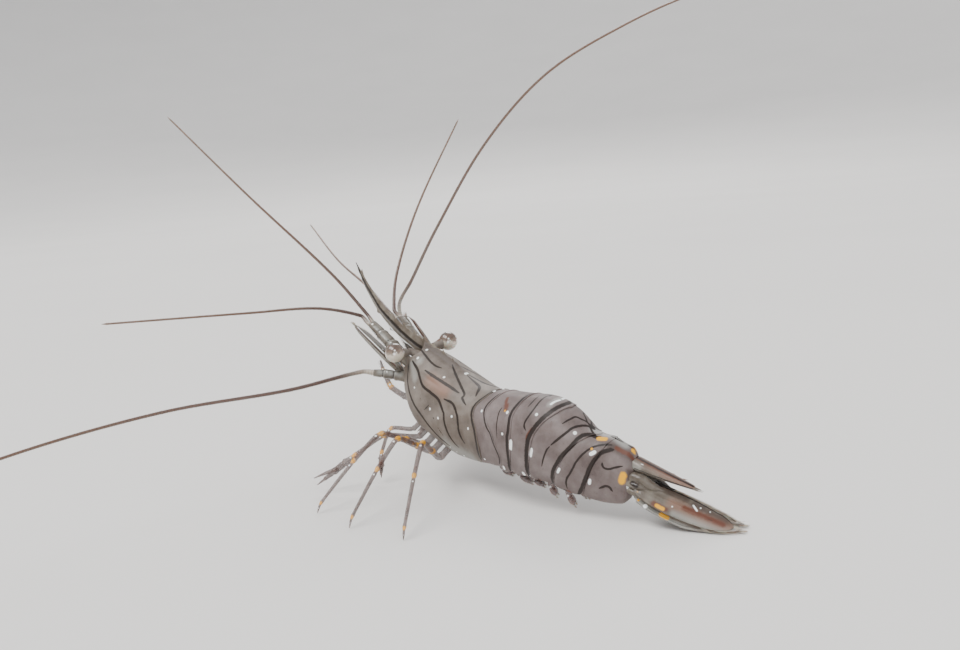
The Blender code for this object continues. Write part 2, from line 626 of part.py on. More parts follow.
def main():
    for obj in list(bpy.data.objects):
        bpy.data.objects.remove(obj)
    collection = bpy.data.collections.new("rockpool_prawn")
    bpy.context.scene.collection.children.link(collection)
    make_trunk()
    make_rostrum()
    for name, side in (("left", 1), ("right", -1)):
        make_eyes(name, side)
        make_antennule(name, side)
        make_scale(name, side)
        make_maxilliped(name, side)
        for number in (1, 2):
            make_claw_leg(number, name, side)
        for number in (3, 4, 5):
            make_walking_leg(number, name, side)
    make_antenna("left", ANTENNA_STEM_LEFT, ANTENNA_LEFT)
    make_antenna("right", ANTENNA_STEM_RIGHT, ANTENNA_RIGHT)
    make_swimmerets()
    make_tail_fan()
    stand_on_origin()


main()
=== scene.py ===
import json
import math
import random

import bmesh
import bpy
import numpy as np
from mathutils import Matrix, Vector

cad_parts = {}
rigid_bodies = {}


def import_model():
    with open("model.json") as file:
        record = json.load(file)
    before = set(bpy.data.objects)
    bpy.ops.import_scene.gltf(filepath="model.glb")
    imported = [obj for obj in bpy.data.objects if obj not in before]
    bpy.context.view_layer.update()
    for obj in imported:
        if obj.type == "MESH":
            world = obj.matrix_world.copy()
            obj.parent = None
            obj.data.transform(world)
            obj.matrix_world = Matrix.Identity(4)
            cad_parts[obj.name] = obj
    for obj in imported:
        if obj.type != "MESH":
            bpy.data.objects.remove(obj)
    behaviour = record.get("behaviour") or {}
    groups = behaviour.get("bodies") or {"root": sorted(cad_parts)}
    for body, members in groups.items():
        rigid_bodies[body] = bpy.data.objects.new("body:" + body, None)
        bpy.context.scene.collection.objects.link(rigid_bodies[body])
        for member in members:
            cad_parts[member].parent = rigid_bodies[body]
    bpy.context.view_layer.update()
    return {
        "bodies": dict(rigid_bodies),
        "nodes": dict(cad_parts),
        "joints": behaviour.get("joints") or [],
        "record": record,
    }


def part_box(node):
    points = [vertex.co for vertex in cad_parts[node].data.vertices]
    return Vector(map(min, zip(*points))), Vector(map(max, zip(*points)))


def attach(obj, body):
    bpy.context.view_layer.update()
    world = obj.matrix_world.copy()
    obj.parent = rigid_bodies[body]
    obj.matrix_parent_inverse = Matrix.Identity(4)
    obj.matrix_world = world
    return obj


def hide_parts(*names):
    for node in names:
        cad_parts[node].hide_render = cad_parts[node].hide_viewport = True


# A rockpool prawn at life size. Everything is worked out in millimetres on the prawn's own
# axes (x to its left, y to its tail, z up) and set down on the CAD frame in metres.
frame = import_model()
print("frame loaded,", len(frame["nodes"]), "solids")

bodyPlan = {
    "headPitch": 26.0,          # degrees the head is raised
    "neck": -2.5,               # the trunk is straight in front of here
    "ahead": -20.0, "behind": 24.0, "step": 0.05,   # reach and fineness of the table of the spine
    "ground": -7.1,
    # station, slope down to the tail, bend to the right
    "pose": ((-2.5, 26, 0), (0.0, 9, -3), (1.2, -1, -3), (4.1, 0, -1), (7.8, 4, 4),
             (11.2, 30, 9), (13.9, 32, 12), (17.2, 12, 15), (19.8, 8, 17), (22.8, 17, 20)),
    # station, half width, top, bottom
    "sections": ((-11.9, 2.0, 2.25, -2.3), (-10.8, 2.5, 2.45, -2.9), (-9.0, 3.0, 2.65, -4.0),
                 (-7.0, 3.35, 2.75, -4.9), (-4.0, 3.55, 3.0, -5.1), (-1.5, 3.5, 3.3, -4.8),
                 (0.0, 3.4, 3.35, -4.4), (2.4, 3.4, 3.45, -4.1), (5.8, 3.4, 3.55, -4.3),
                 (9.8, 3.0, 3.75, -4.3), (12.6, 2.5, 3.15, -3.7), (15.1, 2.05, 3.8, -2.8),
                 (17.3, 1.75, 3.6, -2.2), (19.5, 1.5, 3.2, -1.5)),
    "upperRoundness": 1.95,
    "lowerRoundness": 3.0,
    "groove": 0.8,
    "grooveShare": 0.72,
}


def along(rows, at):  # smooth curve through rows of (place, value, value, ...)
    rows = np.array(rows, float)
    at = np.clip(np.atleast_1d(np.asarray(at, float)), rows[0, 0], rows[-1, 0])
    i = np.clip(np.searchsorted(rows[:, 0], at, side="right") - 1, 0, len(rows) - 2)
    near, far = rows[i], rows[i + 1]
    before, after = rows[np.maximum(i - 1, 0)], rows[np.minimum(i + 2, len(rows) - 1)]
    span = far[:, :1] - near[:, :1]
    t = (at[:, None] - near[:, :1]) / span
    leave = (far - before)[:, 1:] / (far - before)[:, :1] * span
    arrive = (after - near)[:, 1:] / (after - near)[:, :1] * span
    return ((2 * t**3 - 3 * t**2 + 1) * near[:, 1:] + (t**3 - 2 * t**2 + t) * leave
            + (3 * t**2 - 2 * t**3) * far[:, 1:] + (t**3 - t**2) * arrive)


def evened(*values):  # arrays of one shape
    return np.broadcast_arrays(*(np.asarray(value, float) for value in values))


def unit(vectors):
    return vectors / np.maximum(np.linalg.norm(vectors, axis=-1, keepdims=True), 1e-12)


def axesAt(slope, bend):  # side, back and up of a trunk section
    s, b = np.radians(slope), np.radians(bend)
    side = np.stack([np.cos(b), np.sin(b), 0 * b], -1)
    back = np.stack([-np.sin(b) * np.cos(s), np.cos(b) * np.cos(s), -np.sin(s)], -1)
    up = np.stack([-np.sin(b) * np.sin(s), np.cos(b) * np.sin(s), np.cos(s)], -1)
    return side, back, up


def makeSpine():  # a table of origins and axes along the trunk
    step, ahead = bodyPlan["step"], bodyPlan["ahead"]
    stations = np.arange(bodyPlan["neck"], bodyPlan["behind"], step)
    middle = along(bodyPlan["pose"], stations[:-1] + step / 2)
    here = along(bodyPlan["pose"], stations)
    axes = axesAt(here[:, 0], here[:, 1])
    back = axes[1][0]
    steps = axesAt(middle[:, 0], middle[:, 1])[1] * step
    origins = back * bodyPlan["neck"] + np.vstack([np.zeros(3), np.cumsum(steps, 0)])
    axes = [np.vstack([rows[:1], rows]) for rows in axes]
    return np.insert(stations, 0, ahead), np.hstack([np.vstack([back * ahead, origins]), *axes])


spineStations, spineRows = makeSpine()


def spineAt(station):  # origin, side, back and up
    rows = np.stack([np.interp(station, spineStations, column) for column in spineRows.T], -1)
    return rows[:, :3], rows[:, 3:6], rows[:, 6:9], rows[:, 9:12]


def axesOf(station):
    return (rows[0] for rows in spineAt([station]))


def trunkPlace(station, angle, lift=0.0, flap=0.0):  # angle 0 is the left side, 90 the back
    station, angle, lift, flap = evened(np.atleast_1d(station), angle, lift, flap)
    halfWidth, top, bottom = along(bodyPlan["sections"], station).T
    halfWidth, top, bottom = halfWidth + lift, top + lift, bottom - lift - flap
    c, s = np.cos(np.radians(angle)), np.sin(np.radians(angle))
    power = 2 / np.where(s >= 0, bodyPlan["upperRoundness"], bodyPlan["lowerRoundness"])
    x = halfWidth * np.sign(c) * np.abs(c) ** power
    z = np.where(s >= 0, top, -bottom) * np.sign(s) * np.abs(s) ** power
    hollow = np.maximum(0, 1 - (x / (halfWidth * bodyPlan["grooveShare"])) ** 2)
    z = z + np.where(s < 0, (bodyPlan["groove"] + flap) * hollow, 0)
    origin, side, _, up = spineAt(station)
    return origin + side * x[:, None] + up * z[:, None]


def headPlace(forward, side, up):
    p = math.radians(bodyPlan["headPitch"])
    forward, side, up = evened(forward, side, up)
    return np.stack([side, -forward * math.cos(p) + up * math.sin(p),
                     forward * math.sin(p) + up * math.cos(p)], -1)


def groundPlace(x, y, height):
    return np.array([x, y, height + bodyPlan["ground"]], float)


eyePlan = {"centre": (12.45, 3.7, 1.75), "radius": 1.05}    # forward, out and up
lowEye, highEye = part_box("eye_left")
standPoint = np.array((lowEye + highEye) / 2) * 1000 - headPlace(*eyePlan["centre"])


def toWorld(points):  # plan millimetres to world metres
    return (np.asarray(points) + standPoint) / 1000


def toPlan(points):
    return np.asarray(points) * 1000 - standPoint


def newShape():
    shape = bmesh.new()
    shape.loops.layers.uv.new("span")
    return shape


def addPiece(name, mesh):
    piece = bpy.data.objects.new(name, mesh)
    bpy.context.scene.collection.objects.link(piece)
    return piece


def built(name, shape):  # a piece from a finished shape
    mesh = bpy.data.meshes.new(name)
    shape.to_mesh(mesh)
    shape.free()
    mesh.shade_smooth()
    return addPiece(name, mesh)


def wrap(name, stepsLong, stepsRound, place, closed=True):
    # a grid bent by place(u, v) into a skin; v runs round it and its two edges are welded
    shape = newShape()
    bmesh.ops.create_grid(shape, x_segments=stepsLong, y_segments=stepsRound, size=0.5, calc_uvs=True)
    mesh = bpy.data.meshes.new(name)
    shape.to_mesh(mesh)
    shape.free()
    flat = np.zeros(len(mesh.vertices) * 3)
    mesh.vertices.foreach_get("co", flat)
    flat = flat.reshape(-1, 3)[:, :2]
    flat = (flat - flat.min(0)) / (flat.max(0) - flat.min(0))
    mesh.vertices.foreach_set("co", toWorld(place(flat[:, 0], flat[:, 1])).ravel())
    for label, column in zip(("gridU", "gridV"), flat.T):
        mesh.attributes.new(label, "FLOAT", "POINT").data.foreach_set("value", column.astype(np.float32))
    shape = bmesh.new()
    shape.from_mesh(mesh)
    if closed:
        bmesh.ops.remove_doubles(shape, verts=shape.verts, dist=2e-6)
        bmesh.ops.holes_fill(shape, edges=[e for e in shape.edges if e.is_boundary], sides=0)
    bmesh.ops.recalc_face_normals(shape, faces=shape.faces)
    shape.to_mesh(mesh)
    shape.free()
    mesh.shade_smooth()
    return addPiece(name, mesh)


def settle(piece, material, slot, *nodes):  # the last step for every piece
    piece.data.materials.clear()
    piece.data.materials.append(material)
    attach(piece, "root")
    if nodes:
        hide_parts(*nodes)


def pointsOf(piece):
    flat = np.zeros(len(piece.data.vertices) * 3)
    piece.data.vertices.foreach_get("co", flat)
    return toPlan(flat.reshape(-1, 3))


unmarked = 9.0      # a field's value far from every stroke


def fieldOf(points, strokes):
    # distance from each point to the nearest stroke, measured in half widths of that stroke
    field = np.full(len(points), unmarked)
    for line, half in strokes:
        line = np.atleast_2d(line)
        half = np.broadcast_to(half, len(line))
        reach = max(half) * 6
        near = np.all((points > line.min(0) - reach) & (points < line.max(0) + reach), axis=1)
        if not near.any():
            continue
        here, best = points[near], field[near]
        ends = line[1:] if len(line) > 1 else line
        for a, b, wide, wideEnd in zip(line, ends, half, half[1:] if len(line) > 1 else half):
            run = b - a
            t = np.clip((here - a) @ run / max(run @ run, 1e-9), 0, 1)
            gap = np.linalg.norm(here - a - t[:, None] * run, axis=1)
            best = np.minimum(best, gap / (wide + (wideEnd - wide) * t))
        field[near] = best
    return field


def store(piece, name, values):
    layer = piece.data.attributes.new(name, "FLOAT", "POINT")
    layer.data.foreach_set("value", np.asarray(values, np.float32))


def gridOf(piece):
    flat = np.zeros((2, len(piece.data.vertices)))
    for row, label in zip(flat, ("gridU", "gridV")):
        piece.data.attributes[label].data.foreach_get("value", row)
    return flat


def paint(piece, points=None, **marks):  # stores one distance field for each kind of mark
    points = pointsOf(piece) if points is None else points
    for kind in ("glowing", "peach", "shade", "rust", "line", "amber", "white"):
        store(piece, kind, fieldOf(points, marks.get(kind, [])))


def pathTable(joints, count=240):
    # joints are (place, radius); gives length so far, centre, radius and a frame that doesn't twist
    places = np.array([place for place, _ in joints], float)
    radii = np.array([[radius] for _, radius in joints], float)
    gone = np.concatenate([[0], np.cumsum(np.linalg.norm(np.diff(places, axis=0), axis=1))])
    at = np.linspace(0, gone[-1], count)
    values = along(np.hstack([gone[:, None], places, radii]), at)
    ahead = unit(np.gradient(values[:, :3], axis=0))
    side = np.zeros_like(ahead)
    first = np.array([0, 0, 1.0]) if abs(ahead[0, 2]) < 0.9 else np.array([1.0, 0, 0])
    side[0] = unit(np.cross(first, ahead[0]))
    for i in range(1, count):
        side[i] = unit(side[i - 1] - ahead[i] * (side[i - 1] @ ahead[i]))
    return at, np.hstack([values, side, np.cross(ahead, side), ahead])


def onPath(table, share):
    at, rows = table
    return np.stack([np.interp(np.asarray(share) * at[-1], at, column) for column in rows.T], -1)


def sweep(name, table, stepsLong, stepsRound, shape):
    # shape(u, turn, radius) gives the radius, or (across, over), at a share u of the length
    def place(u, v):
        rows = onPath(table, u)
        turn = 2 * math.pi * v
        size = shape(u, turn, rows[:, 3])
        across, over = size if isinstance(size, tuple) else (size, size)
        return (rows[:, :3] + rows[:, 4:7] * (across * np.cos(turn))[:, None]
                + rows[:, 7:10] * (over * np.sin(turn))[:, None])
    return wrap(name, stepsLong, stepsRound, place)


def even(u, turn, radius):  # the plainest shape for sweep
    return radius


def oval(across, over):
    def shape(u, turn, radius):
        return radius * across, radius * over
    return shape


def bump(u, centre, width):  # a smooth hill of height 1
    return np.exp(-((u - centre) / width) ** 2)


print("body plan ready")


# shared shader work
def addNode(tree, kind, sockets=None, **settings):
    made = tree.nodes.new(kind)
    for name, value in settings.items():
        setattr(made, name, value)
    for name, value in (sockets or {}).items():
        if isinstance(value, bpy.types.NodeSocket):
            tree.links.new(value, made.inputs[name])
        else:
            made.inputs[name].default_value = value
    return made


def maths(tree, operation, *values):
    return addNode(tree, "ShaderNodeMath", dict(enumerate(values)), operation=operation).outputs[0]


def noise(tree, place, scale, **more):
    return addNode(tree, "ShaderNodeTexNoise", {"Vector": place, "Scale": scale, **more}).outputs["Fac"]


def cells(tree, place, scale):
    return addNode(tree, "ShaderNodeTexVoronoi", {"Vector": place, "Scale": scale}).outputs


def mapped(tree, value, fromMin=0.0, fromMax=1.0, toMin=0.0, toMax=1.0, **settings):
    ends = {"Value": value, "From Min": fromMin, "From Max": fromMax, "To Min": toMin, "To Max": toMax}
    return addNode(tree, "ShaderNodeMapRange", ends, **settings).outputs[0]


def makeGroup(name, output, work, **inputs):
    # a node group with one result; work(group, its input sockets) makes that result
    group = bpy.data.node_groups.new(name, "ShaderNodeTree")
    for label, value in inputs.items():
        kind = "NodeSocketFloat" if isinstance(value, float) else "NodeSocketVector"
        group.interface.new_socket(label, in_out="INPUT", socket_type=kind).default_value = value
    group.interface.new_socket(output, in_out="OUTPUT", socket_type="NodeSocketFloat")
    given, result = group.nodes.new("NodeGroupInput"), group.nodes.new("NodeGroupOutput")
    group.links.new(work(group, given.outputs), result.inputs[output])
    return group


def inkedMask(group, given):  # a stored distance as a mask with a slightly ragged edge
    rough = noise(group, given["Place"], given["Grain"], Detail=3.0)
    centred = maths(group, "SUBTRACT", rough, 0.5)
    shift = maths(group, "MULTIPLY_ADD", centred, given["Raggedness"], given["Mark"])
    outer = maths(group, "ADD", 1.0, given["Softness"])
    inner = maths(group, "SUBTRACT", 1.0, given["Softness"])
    return mapped(group, shift, outer, inner, interpolation_type="SMOOTHSTEP")


def scattered(group, given):  # pin-point colour cells, of which a share is kept
    spots = cells(group, given["Place"], given["Density"])
    draw = addNode(group, "ShaderNodeSeparateColor", {"Color": spots["Color"]}).outputs[0]
    dot = mapped(group, spots["Distance"], given["Size"], 0.0, interpolation_type="SMOOTHSTEP")
    return maths(group, "MULTIPLY", maths(group, "LESS_THAN", draw, given["Share"]), dot)


def pitted(group, given):  # height of the finest pits and swells of a shell
    pits = maths(group, "MULTIPLY", cells(group, given["Place"], given["Pits"])["Distance"], 0.25)
    return maths(group, "ADD", pits, noise(group, given["Place"], given["Swell"], Detail=4.0))


pigmentMask = makeGroup("pigmentMask", "Mask", inkedMask, Mark=unmarked, Place=(0, 0, 0), Softness=0.25,
                        Raggedness=0.5, Grain=4000.0)
freckles = makeGroup("freckles", "Mask", scattered, Place=(0, 0, 0), Density=2600.0, Size=0.16, Share=0.4)
shellGrain = makeGroup("shellGrain", "Height", pitted, Place=(0, 0, 0), Pits=9000.0, Swell=900.0)


def startMaterial(name, **constants):
    material = bpy.data.materials.new(name)
    material.use_nodes = True
    tree = material.node_tree
    shader = tree.nodes["Principled BSDF"]
    for label, value in constants.items():
        shader.inputs[label].default_value = value
    place = addNode(tree, "ShaderNodeTexCoord").outputs["Object"]
    return material, tree, shader, place


def grouped(tree, group, **sockets):
    return addNode(tree, "ShaderNodeGroup", sockets, node_tree=group).outputs[0]


def mixed(tree, share, first, second):
    return addNode(tree, "ShaderNodeMix", {0: share, 6: first, 7: second}, data_type="RGBA").outputs[2]


def scaled(tree, value, factor):
    return maths(tree, "MULTIPLY", value, factor)


def stored(tree, name):  # a value painted on the piece
    return addNode(tree, "ShaderNodeAttribute", attribute_name=name).outputs["Fac"]


def ramped(tree, value, *stops):
    ramp = addNode(tree, "ShaderNodeValToRGB", {"Fac": value})
    points = ramp.color_ramp.elements
    for point, (at, colour) in zip([points[0], points[1]], (stops[0], stops[-1])):
        point.position, point.color = at, (*colour, 1)
    for at, colour in stops[1:-1]:
        points.new(at).color = (*colour, 1)
    return ramp.outputs["Color"]


def bumped(tree, shader, height, strength, distance):
    made = addNode(tree, "ShaderNodeBump", {"Height": height, "Strength": strength, "Distance": distance})
    tree.links.new(made.outputs["Normal"], shader.inputs["Normal"])


# glowing is a pale tint that is mostly painted sheen and glints, shade is painted shade, and the white marks
# are white spots and painted highlights
tints = {
    "line": (0.012, 0.0060, 0.0040), "white": (0.93, 0.95, 0.93), "amber": (0.88, 0.41, 0.006),
    "rust": (0.120, 0.034, 0.016), "glowing": (0.50, 0.52, 0.49), "peach": (0.27, 0.15, 0.105),
    "shade": (0.050, 0.032, 0.026), "feelerPale": (0.50, 0.44, 0.36), "feelerBrown": (0.085, 0.042, 0.030),
    "feelerOrange": (0.15, 0.080, 0.050), "feelerTip": (0.20, 0.125, 0.085),
}


def rgba(name):
    return (*tints[name], 1)


# tones are dark, middle and light; glow and depth are the light that passes through the flesh
shellLook = {"glow": 0.22, "depth": 0.0006, "gloss": 0.44, "coat": 0.07, "alpha": 1.0, "cloud": 420.0,
             "freckle": 0.45, "rusty": 0.35}
skinPlans = {
    "headShell": {**shellLook,
                  "tones": ((0.108, 0.086, 0.070), (0.175, 0.145, 0.122), (0.250, 0.219, 0.190))},
    "tailShell": {**shellLook,
                  "tones": ((0.104, 0.078, 0.073), (0.167, 0.133, 0.126), (0.240, 0.201, 0.194))},
    "clearBlade": {"tones": ((0.080, 0.062, 0.047), (0.145, 0.122, 0.097), (0.235, 0.210, 0.172)),
                   "glow": 0.2, "depth": 0.0004, "gloss": 0.26, "coat": 0.5, "alpha": 0.90, "cloud": 700.0,
                   "freckle": 0.40, "rusty": 0.55},
    "snoutShell": {"tones": ((0.095, 0.074, 0.055), (0.158, 0.131, 0.102), (0.245, 0.215, 0.172)),
                   "glow": 0.2, "depth": 0.0004, "gloss": 0.30, "coat": 0.35, "alpha": 0.95, "cloud": 700.0,
                   "freckle": 0.40, "rusty": 0.45},
    "limbFlesh": {"tones": ((0.098, 0.059, 0.050), (0.160, 0.110, 0.098), (0.235, 0.180, 0.162)),
                  "glow": 0.25, "depth": 0.0004, "gloss": 0.30, "coat": 0.3, "alpha": 0.66, "cloud": 900.0,
                  "freckle": 0.5, "rusty": 0.6},
    "paddleFlesh": {"tones": ((0.125, 0.062, 0.055), (0.20, 0.118, 0.108), (0.27, 0.185, 0.172)),
                    "glow": 0.3, "depth": 0.0005, "gloss": 0.34, "coat": 0.2, "alpha": 0.55, "cloud": 900.0,
                    "freckle": 0.3, "rusty": 0.5},
}
markLooks = (  # mark, softness, raggedness, strength; white comes last, since its mask also drives the painted glow
    ("glowing", 0.8, 0.6, 0.40), ("peach", 0.9, 0.5, 0.75), ("shade", 0.9, 0.6, 0.70),
    ("rust", 0.6, 0.8, 0.85), ("line", 0.30, 0.6, 0.95), ("amber", 0.35, 0.4, 1.0),
    ("white", 0.25, 0.2, 1.0))


def makeSkin(name):
    look = skinPlans[name]
    material, tree, shader, place = startMaterial(
        name, **{"Subsurface Weight": look["glow"], "Subsurface Scale": look["depth"],
                 "Subsurface Radius": (1.0, 0.75, 0.6), "Coat Weight": look["coat"],
                 "Coat Roughness": 0.12, "IOR": 1.36, "Alpha": look["alpha"],
                 "Emission Strength": 0.22})
    cloud = noise(tree, place, look["cloud"], Detail=5.0, Roughness=0.6)
    base = ramped(tree, cloud, *zip((0.30, 0.5, 0.72), look["tones"]))
    for tint, share, density, size, kept in (("line", look["freckle"], 3200.0, 0.22, 0.5),
                                             ("rust", look["rusty"], 1100.0, 0.07, 0.35)):
        spots = grouped(tree, freckles, Place=place, Density=density, Size=size, Share=kept)
        base = mixed(tree, scaled(tree, spots, share), base, rgba(tint))
    for mark, soft, ragged, share in markLooks:
        mask = grouped(tree, pigmentMask, Mark=stored(tree, mark), Place=place, Softness=soft,
                       Raggedness=ragged)
        base = mixed(tree, scaled(tree, mask, share), base, rgba(mark))
    tree.links.new(base, shader.inputs["Base Color"])
    # the white marks also shine as emission: a painted glow
    paintedGlow = mixed(tree, mask, (0, 0, 0, 1), rgba("white"))
    tree.links.new(paintedGlow, shader.inputs["Emission Color"])
    rough = mapped(tree, cloud, toMin=look["gloss"], toMax=look["gloss"] + 0.2)
    tree.links.new(rough, shader.inputs["Roughness"])
    bumped(tree, shader, grouped(tree, shellGrain, Place=place), 0.25, 0.00003)
    return material


headShell, tailShell, clearBlade, snoutShell, limbFlesh, paddleFlesh = map(makeSkin, skinPlans)


ringWaves = 1500.0      # turns of the wave that rings a feeler, in radians from end to end


def makeFeelerSkin(name, *stops):  # ringed, with colours that change from the root to the tip
    material, tree, shader, place = startMaterial(
        name, **{"Subsurface Weight": 0.2, "Subsurface Scale": 0.0003, "Coat Weight": 0.6,
                 "Coat Roughness": 0.15, "Roughness": 0.35})
    flat = addNode(tree, "ShaderNodeUVMap", uv_map="span").outputs[0]
    span = addNode(tree, "ShaderNodeSeparateXYZ", {0: flat}).outputs[0]
    wave = maths(tree, "SINE", maths(tree, "MULTIPLY", span, ringWaves))
    ring = mapped(tree, wave, 0.2, 1.0, toMax=0.55)
    both = maths(tree, "MULTIPLY", ring, noise(tree, place, 900.0))
    tree.links.new(mixed(tree, both, ramped(tree, span, *stops), rgba("line")), shader.inputs["Base Color"])
    return material


feelerSkin = makeFeelerSkin("feelerSkin", (0.0, tints["feelerPale"]), (0.05, tints["feelerBrown"]),
                            (0.5, tints["feelerOrange"]), (1.0, tints["feelerTip"]))
whiteFeeler = makeFeelerSkin("whiteFeeler", (0.0, (0.62, 0.59, 0.52)), (0.07, (0.46, 0.42, 0.36)),
                             (0.12, (0.14, 0.095, 0.075)), (0.5, tints["feelerOrange"]),
                             (1.0, tints["feelerTip"]))


def makeHairSkin():
    material, tree, shader, place = startMaterial(
        "paleHair", **{"Roughness": 0.4, "Alpha": 0.8, "Subsurface Weight": 0.2, "Subsurface Scale": 0.0002})
    tone = ramped(tree, noise(tree, place, 1500.0), (0.35, (0.30, 0.24, 0.19)), (0.65, (0.52, 0.46, 0.38)))
    tree.links.new(tone, shader.inputs["Base Color"])
    return material


paleHair = makeHairSkin()


def makeEyeSkin():  # brown above, silvery round the middle, pale below, with white painted highlights, under a glassy coat
    material, tree, shader, place = startMaterial(
        "eyeSkin", **{"Coat Weight": 1.0, "Coat Roughness": 0.02, "Roughness": 0.22, "IOR": 1.45,
                      "Subsurface Weight": 0.2, "Subsurface Scale": 0.0003})
    wisps = noise(tree, place, 2500.0, Detail=4.0)
    height = maths(tree, "MULTIPLY_ADD", wisps, 0.35, stored(tree, "height"))
    base = ramped(tree, height, (0.20, (0.48, 0.42, 0.33)), (0.50, (0.64, 0.57, 0.47)),
                  (0.60, (0.26, 0.195, 0.15)), (0.74, (0.13, 0.085, 0.062)), (1.0, (0.075, 0.045, 0.032)))
    facets = cells(tree, place, 14000.0)["Distance"]
    base = mixed(tree, mapped(tree, facets, 0.25, 0.0, toMax=0.35), base, (0.55, 0.45, 0.34, 1))
    for mark, soft, share in (("line", 0.5, 0.9), ("white", 0.5, 0.95)):
        mask = grouped(tree, pigmentMask, Mark=stored(tree, mark), Place=place, Softness=soft)
        base = mixed(tree, scaled(tree, mask, share), base, rgba(mark))
    tree.links.new(base, shader.inputs["Base Color"])
    bumped(tree, shader, facets, 0.12, 0.00002)
    return material


eyeSkin = makeEyeSkin()
print("finishes ready")

# camera
cameraPlan = {"place": (64.78, 76.36, 26.05), "azimuth": 139.8, "elevation": 9.0, "roll": 4.6,
              "lens": 37.5, "sensor": 36.0, "near": 0.002, "far": 20.0}


def makeCamera():
    azimuth, elevation, roll = (math.radians(cameraPlan[key]) for key in ("azimuth", "elevation", "roll"))
    back = Vector((math.sin(azimuth) * math.cos(elevation), -math.cos(azimuth) * math.cos(elevation),
                   math.sin(elevation)))
    right = Vector((math.cos(azimuth), math.sin(azimuth), 0))
    up = back.cross(right)
    turn = Matrix.Rotation(roll, 3, -back)
    axes = Matrix((turn @ right, turn @ up, back)).transposed()
    data = bpy.data.cameras.new("view")
    data.lens, data.sensor_width, data.sensor_fit = cameraPlan["lens"], cameraPlan["sensor"], "HORIZONTAL"
    data.clip_start, data.clip_end = cameraPlan["near"], cameraPlan["far"]
    camera = bpy.data.objects.new("view", data)
    camera.matrix_world = Matrix.Translation(Vector(toWorld(cameraPlan["place"]))) @ axes.to_4x4()
    bpy.context.scene.collection.objects.link(camera)
    bpy.context.scene.camera = camera


makeCamera()
print("camera set")

# stage: a pale round floor that sweeps up into its own backdrop
stagePlan = {"flat": 0.9, "rise": 1.6, "reach": 3.2, "lip": 0.4, "arc": 16,
             "colour": (0.80, 0.785, 0.765)}


def makeStage():
    shape = bmesh.new()
    flat, rise, reach = stagePlan["flat"], stagePlan["rise"], stagePlan["reach"]
    profile = [(0.0, 0.0), (flat * 0.5, 0.0), (flat, 0.0)]
    for i in range(1, stagePlan["arc"] + 1):
        a = math.pi / 2 * i / stagePlan["arc"]
        profile.append((flat + (reach - flat) * math.sin(a), rise * (1 - math.cos(a))))
    profile.append((reach, rise + stagePlan["lip"]))
    verts = [shape.verts.new((x, 0, z)) for x, z in profile]
    edges = [shape.edges.new(pair) for pair in zip(verts, verts[1:])]
    bmesh.ops.spin(shape, geom=verts + edges, cent=(0, 0, 0), axis=(0, 0, 1), angle=2 * math.pi,
                   steps=96, use_merge=True)
    bmesh.ops.remove_doubles(shape, verts=shape.verts, dist=1e-5)
    bmesh.ops.recalc_face_normals(shape, faces=shape.faces)
    bmesh.ops.reverse_faces(shape, faces=shape.faces)
    floor = built("floor", shape)
    material, tree, shader, place = startMaterial("paleFloor", Roughness=0.85, **{"Specular IOR Level": 0.2})
    pale = stagePlan["colour"]
    haze = ramped(tree, noise(tree, place, 9.0, Detail=3.0), (0.3, [c * 0.97 for c in pale]), (0.7, pale))
    tree.links.new(haze, shader.inputs["Base Color"])
    floor.data.materials.append(material)


makeStage()

lightPlan = {
    # name: (place in metres, size, power in watts, colour)
    "keyLight": ((0.62, 0.05, 1.05), 0.55, 9.0, (1.0, 0.985, 0.96)),
    "fillLight": ((0.50, 1.00, 0.55), 0.90, 4.0, (0.95, 0.98, 1.0)),
    "rimLight": ((-0.80, -0.75, 0.85), 0.60, 7.0, (1.0, 0.99, 0.97)),
}
skyPlan = {  # a soft sun that lights the floor and backdrop evenly, and the room round them
    "power": 1.25, "spread": 25, "colour": (1.0, 0.99, 0.97), "tilt": (24, 26, 0),
    "room": (0.93, 0.95, 1.0, 1), "roomStrength": 0.75,
}


def makeLights():
    for name, (place, size, power, colour) in lightPlan.items():
        data = bpy.data.lights.new(name, "AREA")
        data.shape, data.size, data.energy, data.color = "SQUARE", size, power, colour
        lamp = bpy.data.objects.new(name, data)
        lamp.location = place
        lamp.rotation_mode = "QUATERNION"
        lamp.rotation_quaternion = (-Vector(place)).to_track_quat("-Z", "Y")
        bpy.context.scene.collection.objects.link(lamp)
    data = bpy.data.lights.new("skyLight", "SUN")
    data.energy, data.color = skyPlan["power"], skyPlan["colour"]
    data.angle = math.radians(skyPlan["spread"])
    lamp = bpy.data.objects.new("skyLight", data)
    lamp.rotation_euler = [math.radians(angle) for angle in skyPlan["tilt"]]
    bpy.context.scene.collection.objects.link(lamp)
    world = bpy.data.worlds.new("softRoom")
    bpy.context.scene.world = world
    world.use_nodes = True
    background = world.node_tree.nodes["Background"]
    background.inputs["Color"].default_value = skyPlan["room"]
    background.inputs["Strength"].default_value = skyPlan["roomStrength"]


makeLights()
print("stage and lights ready")

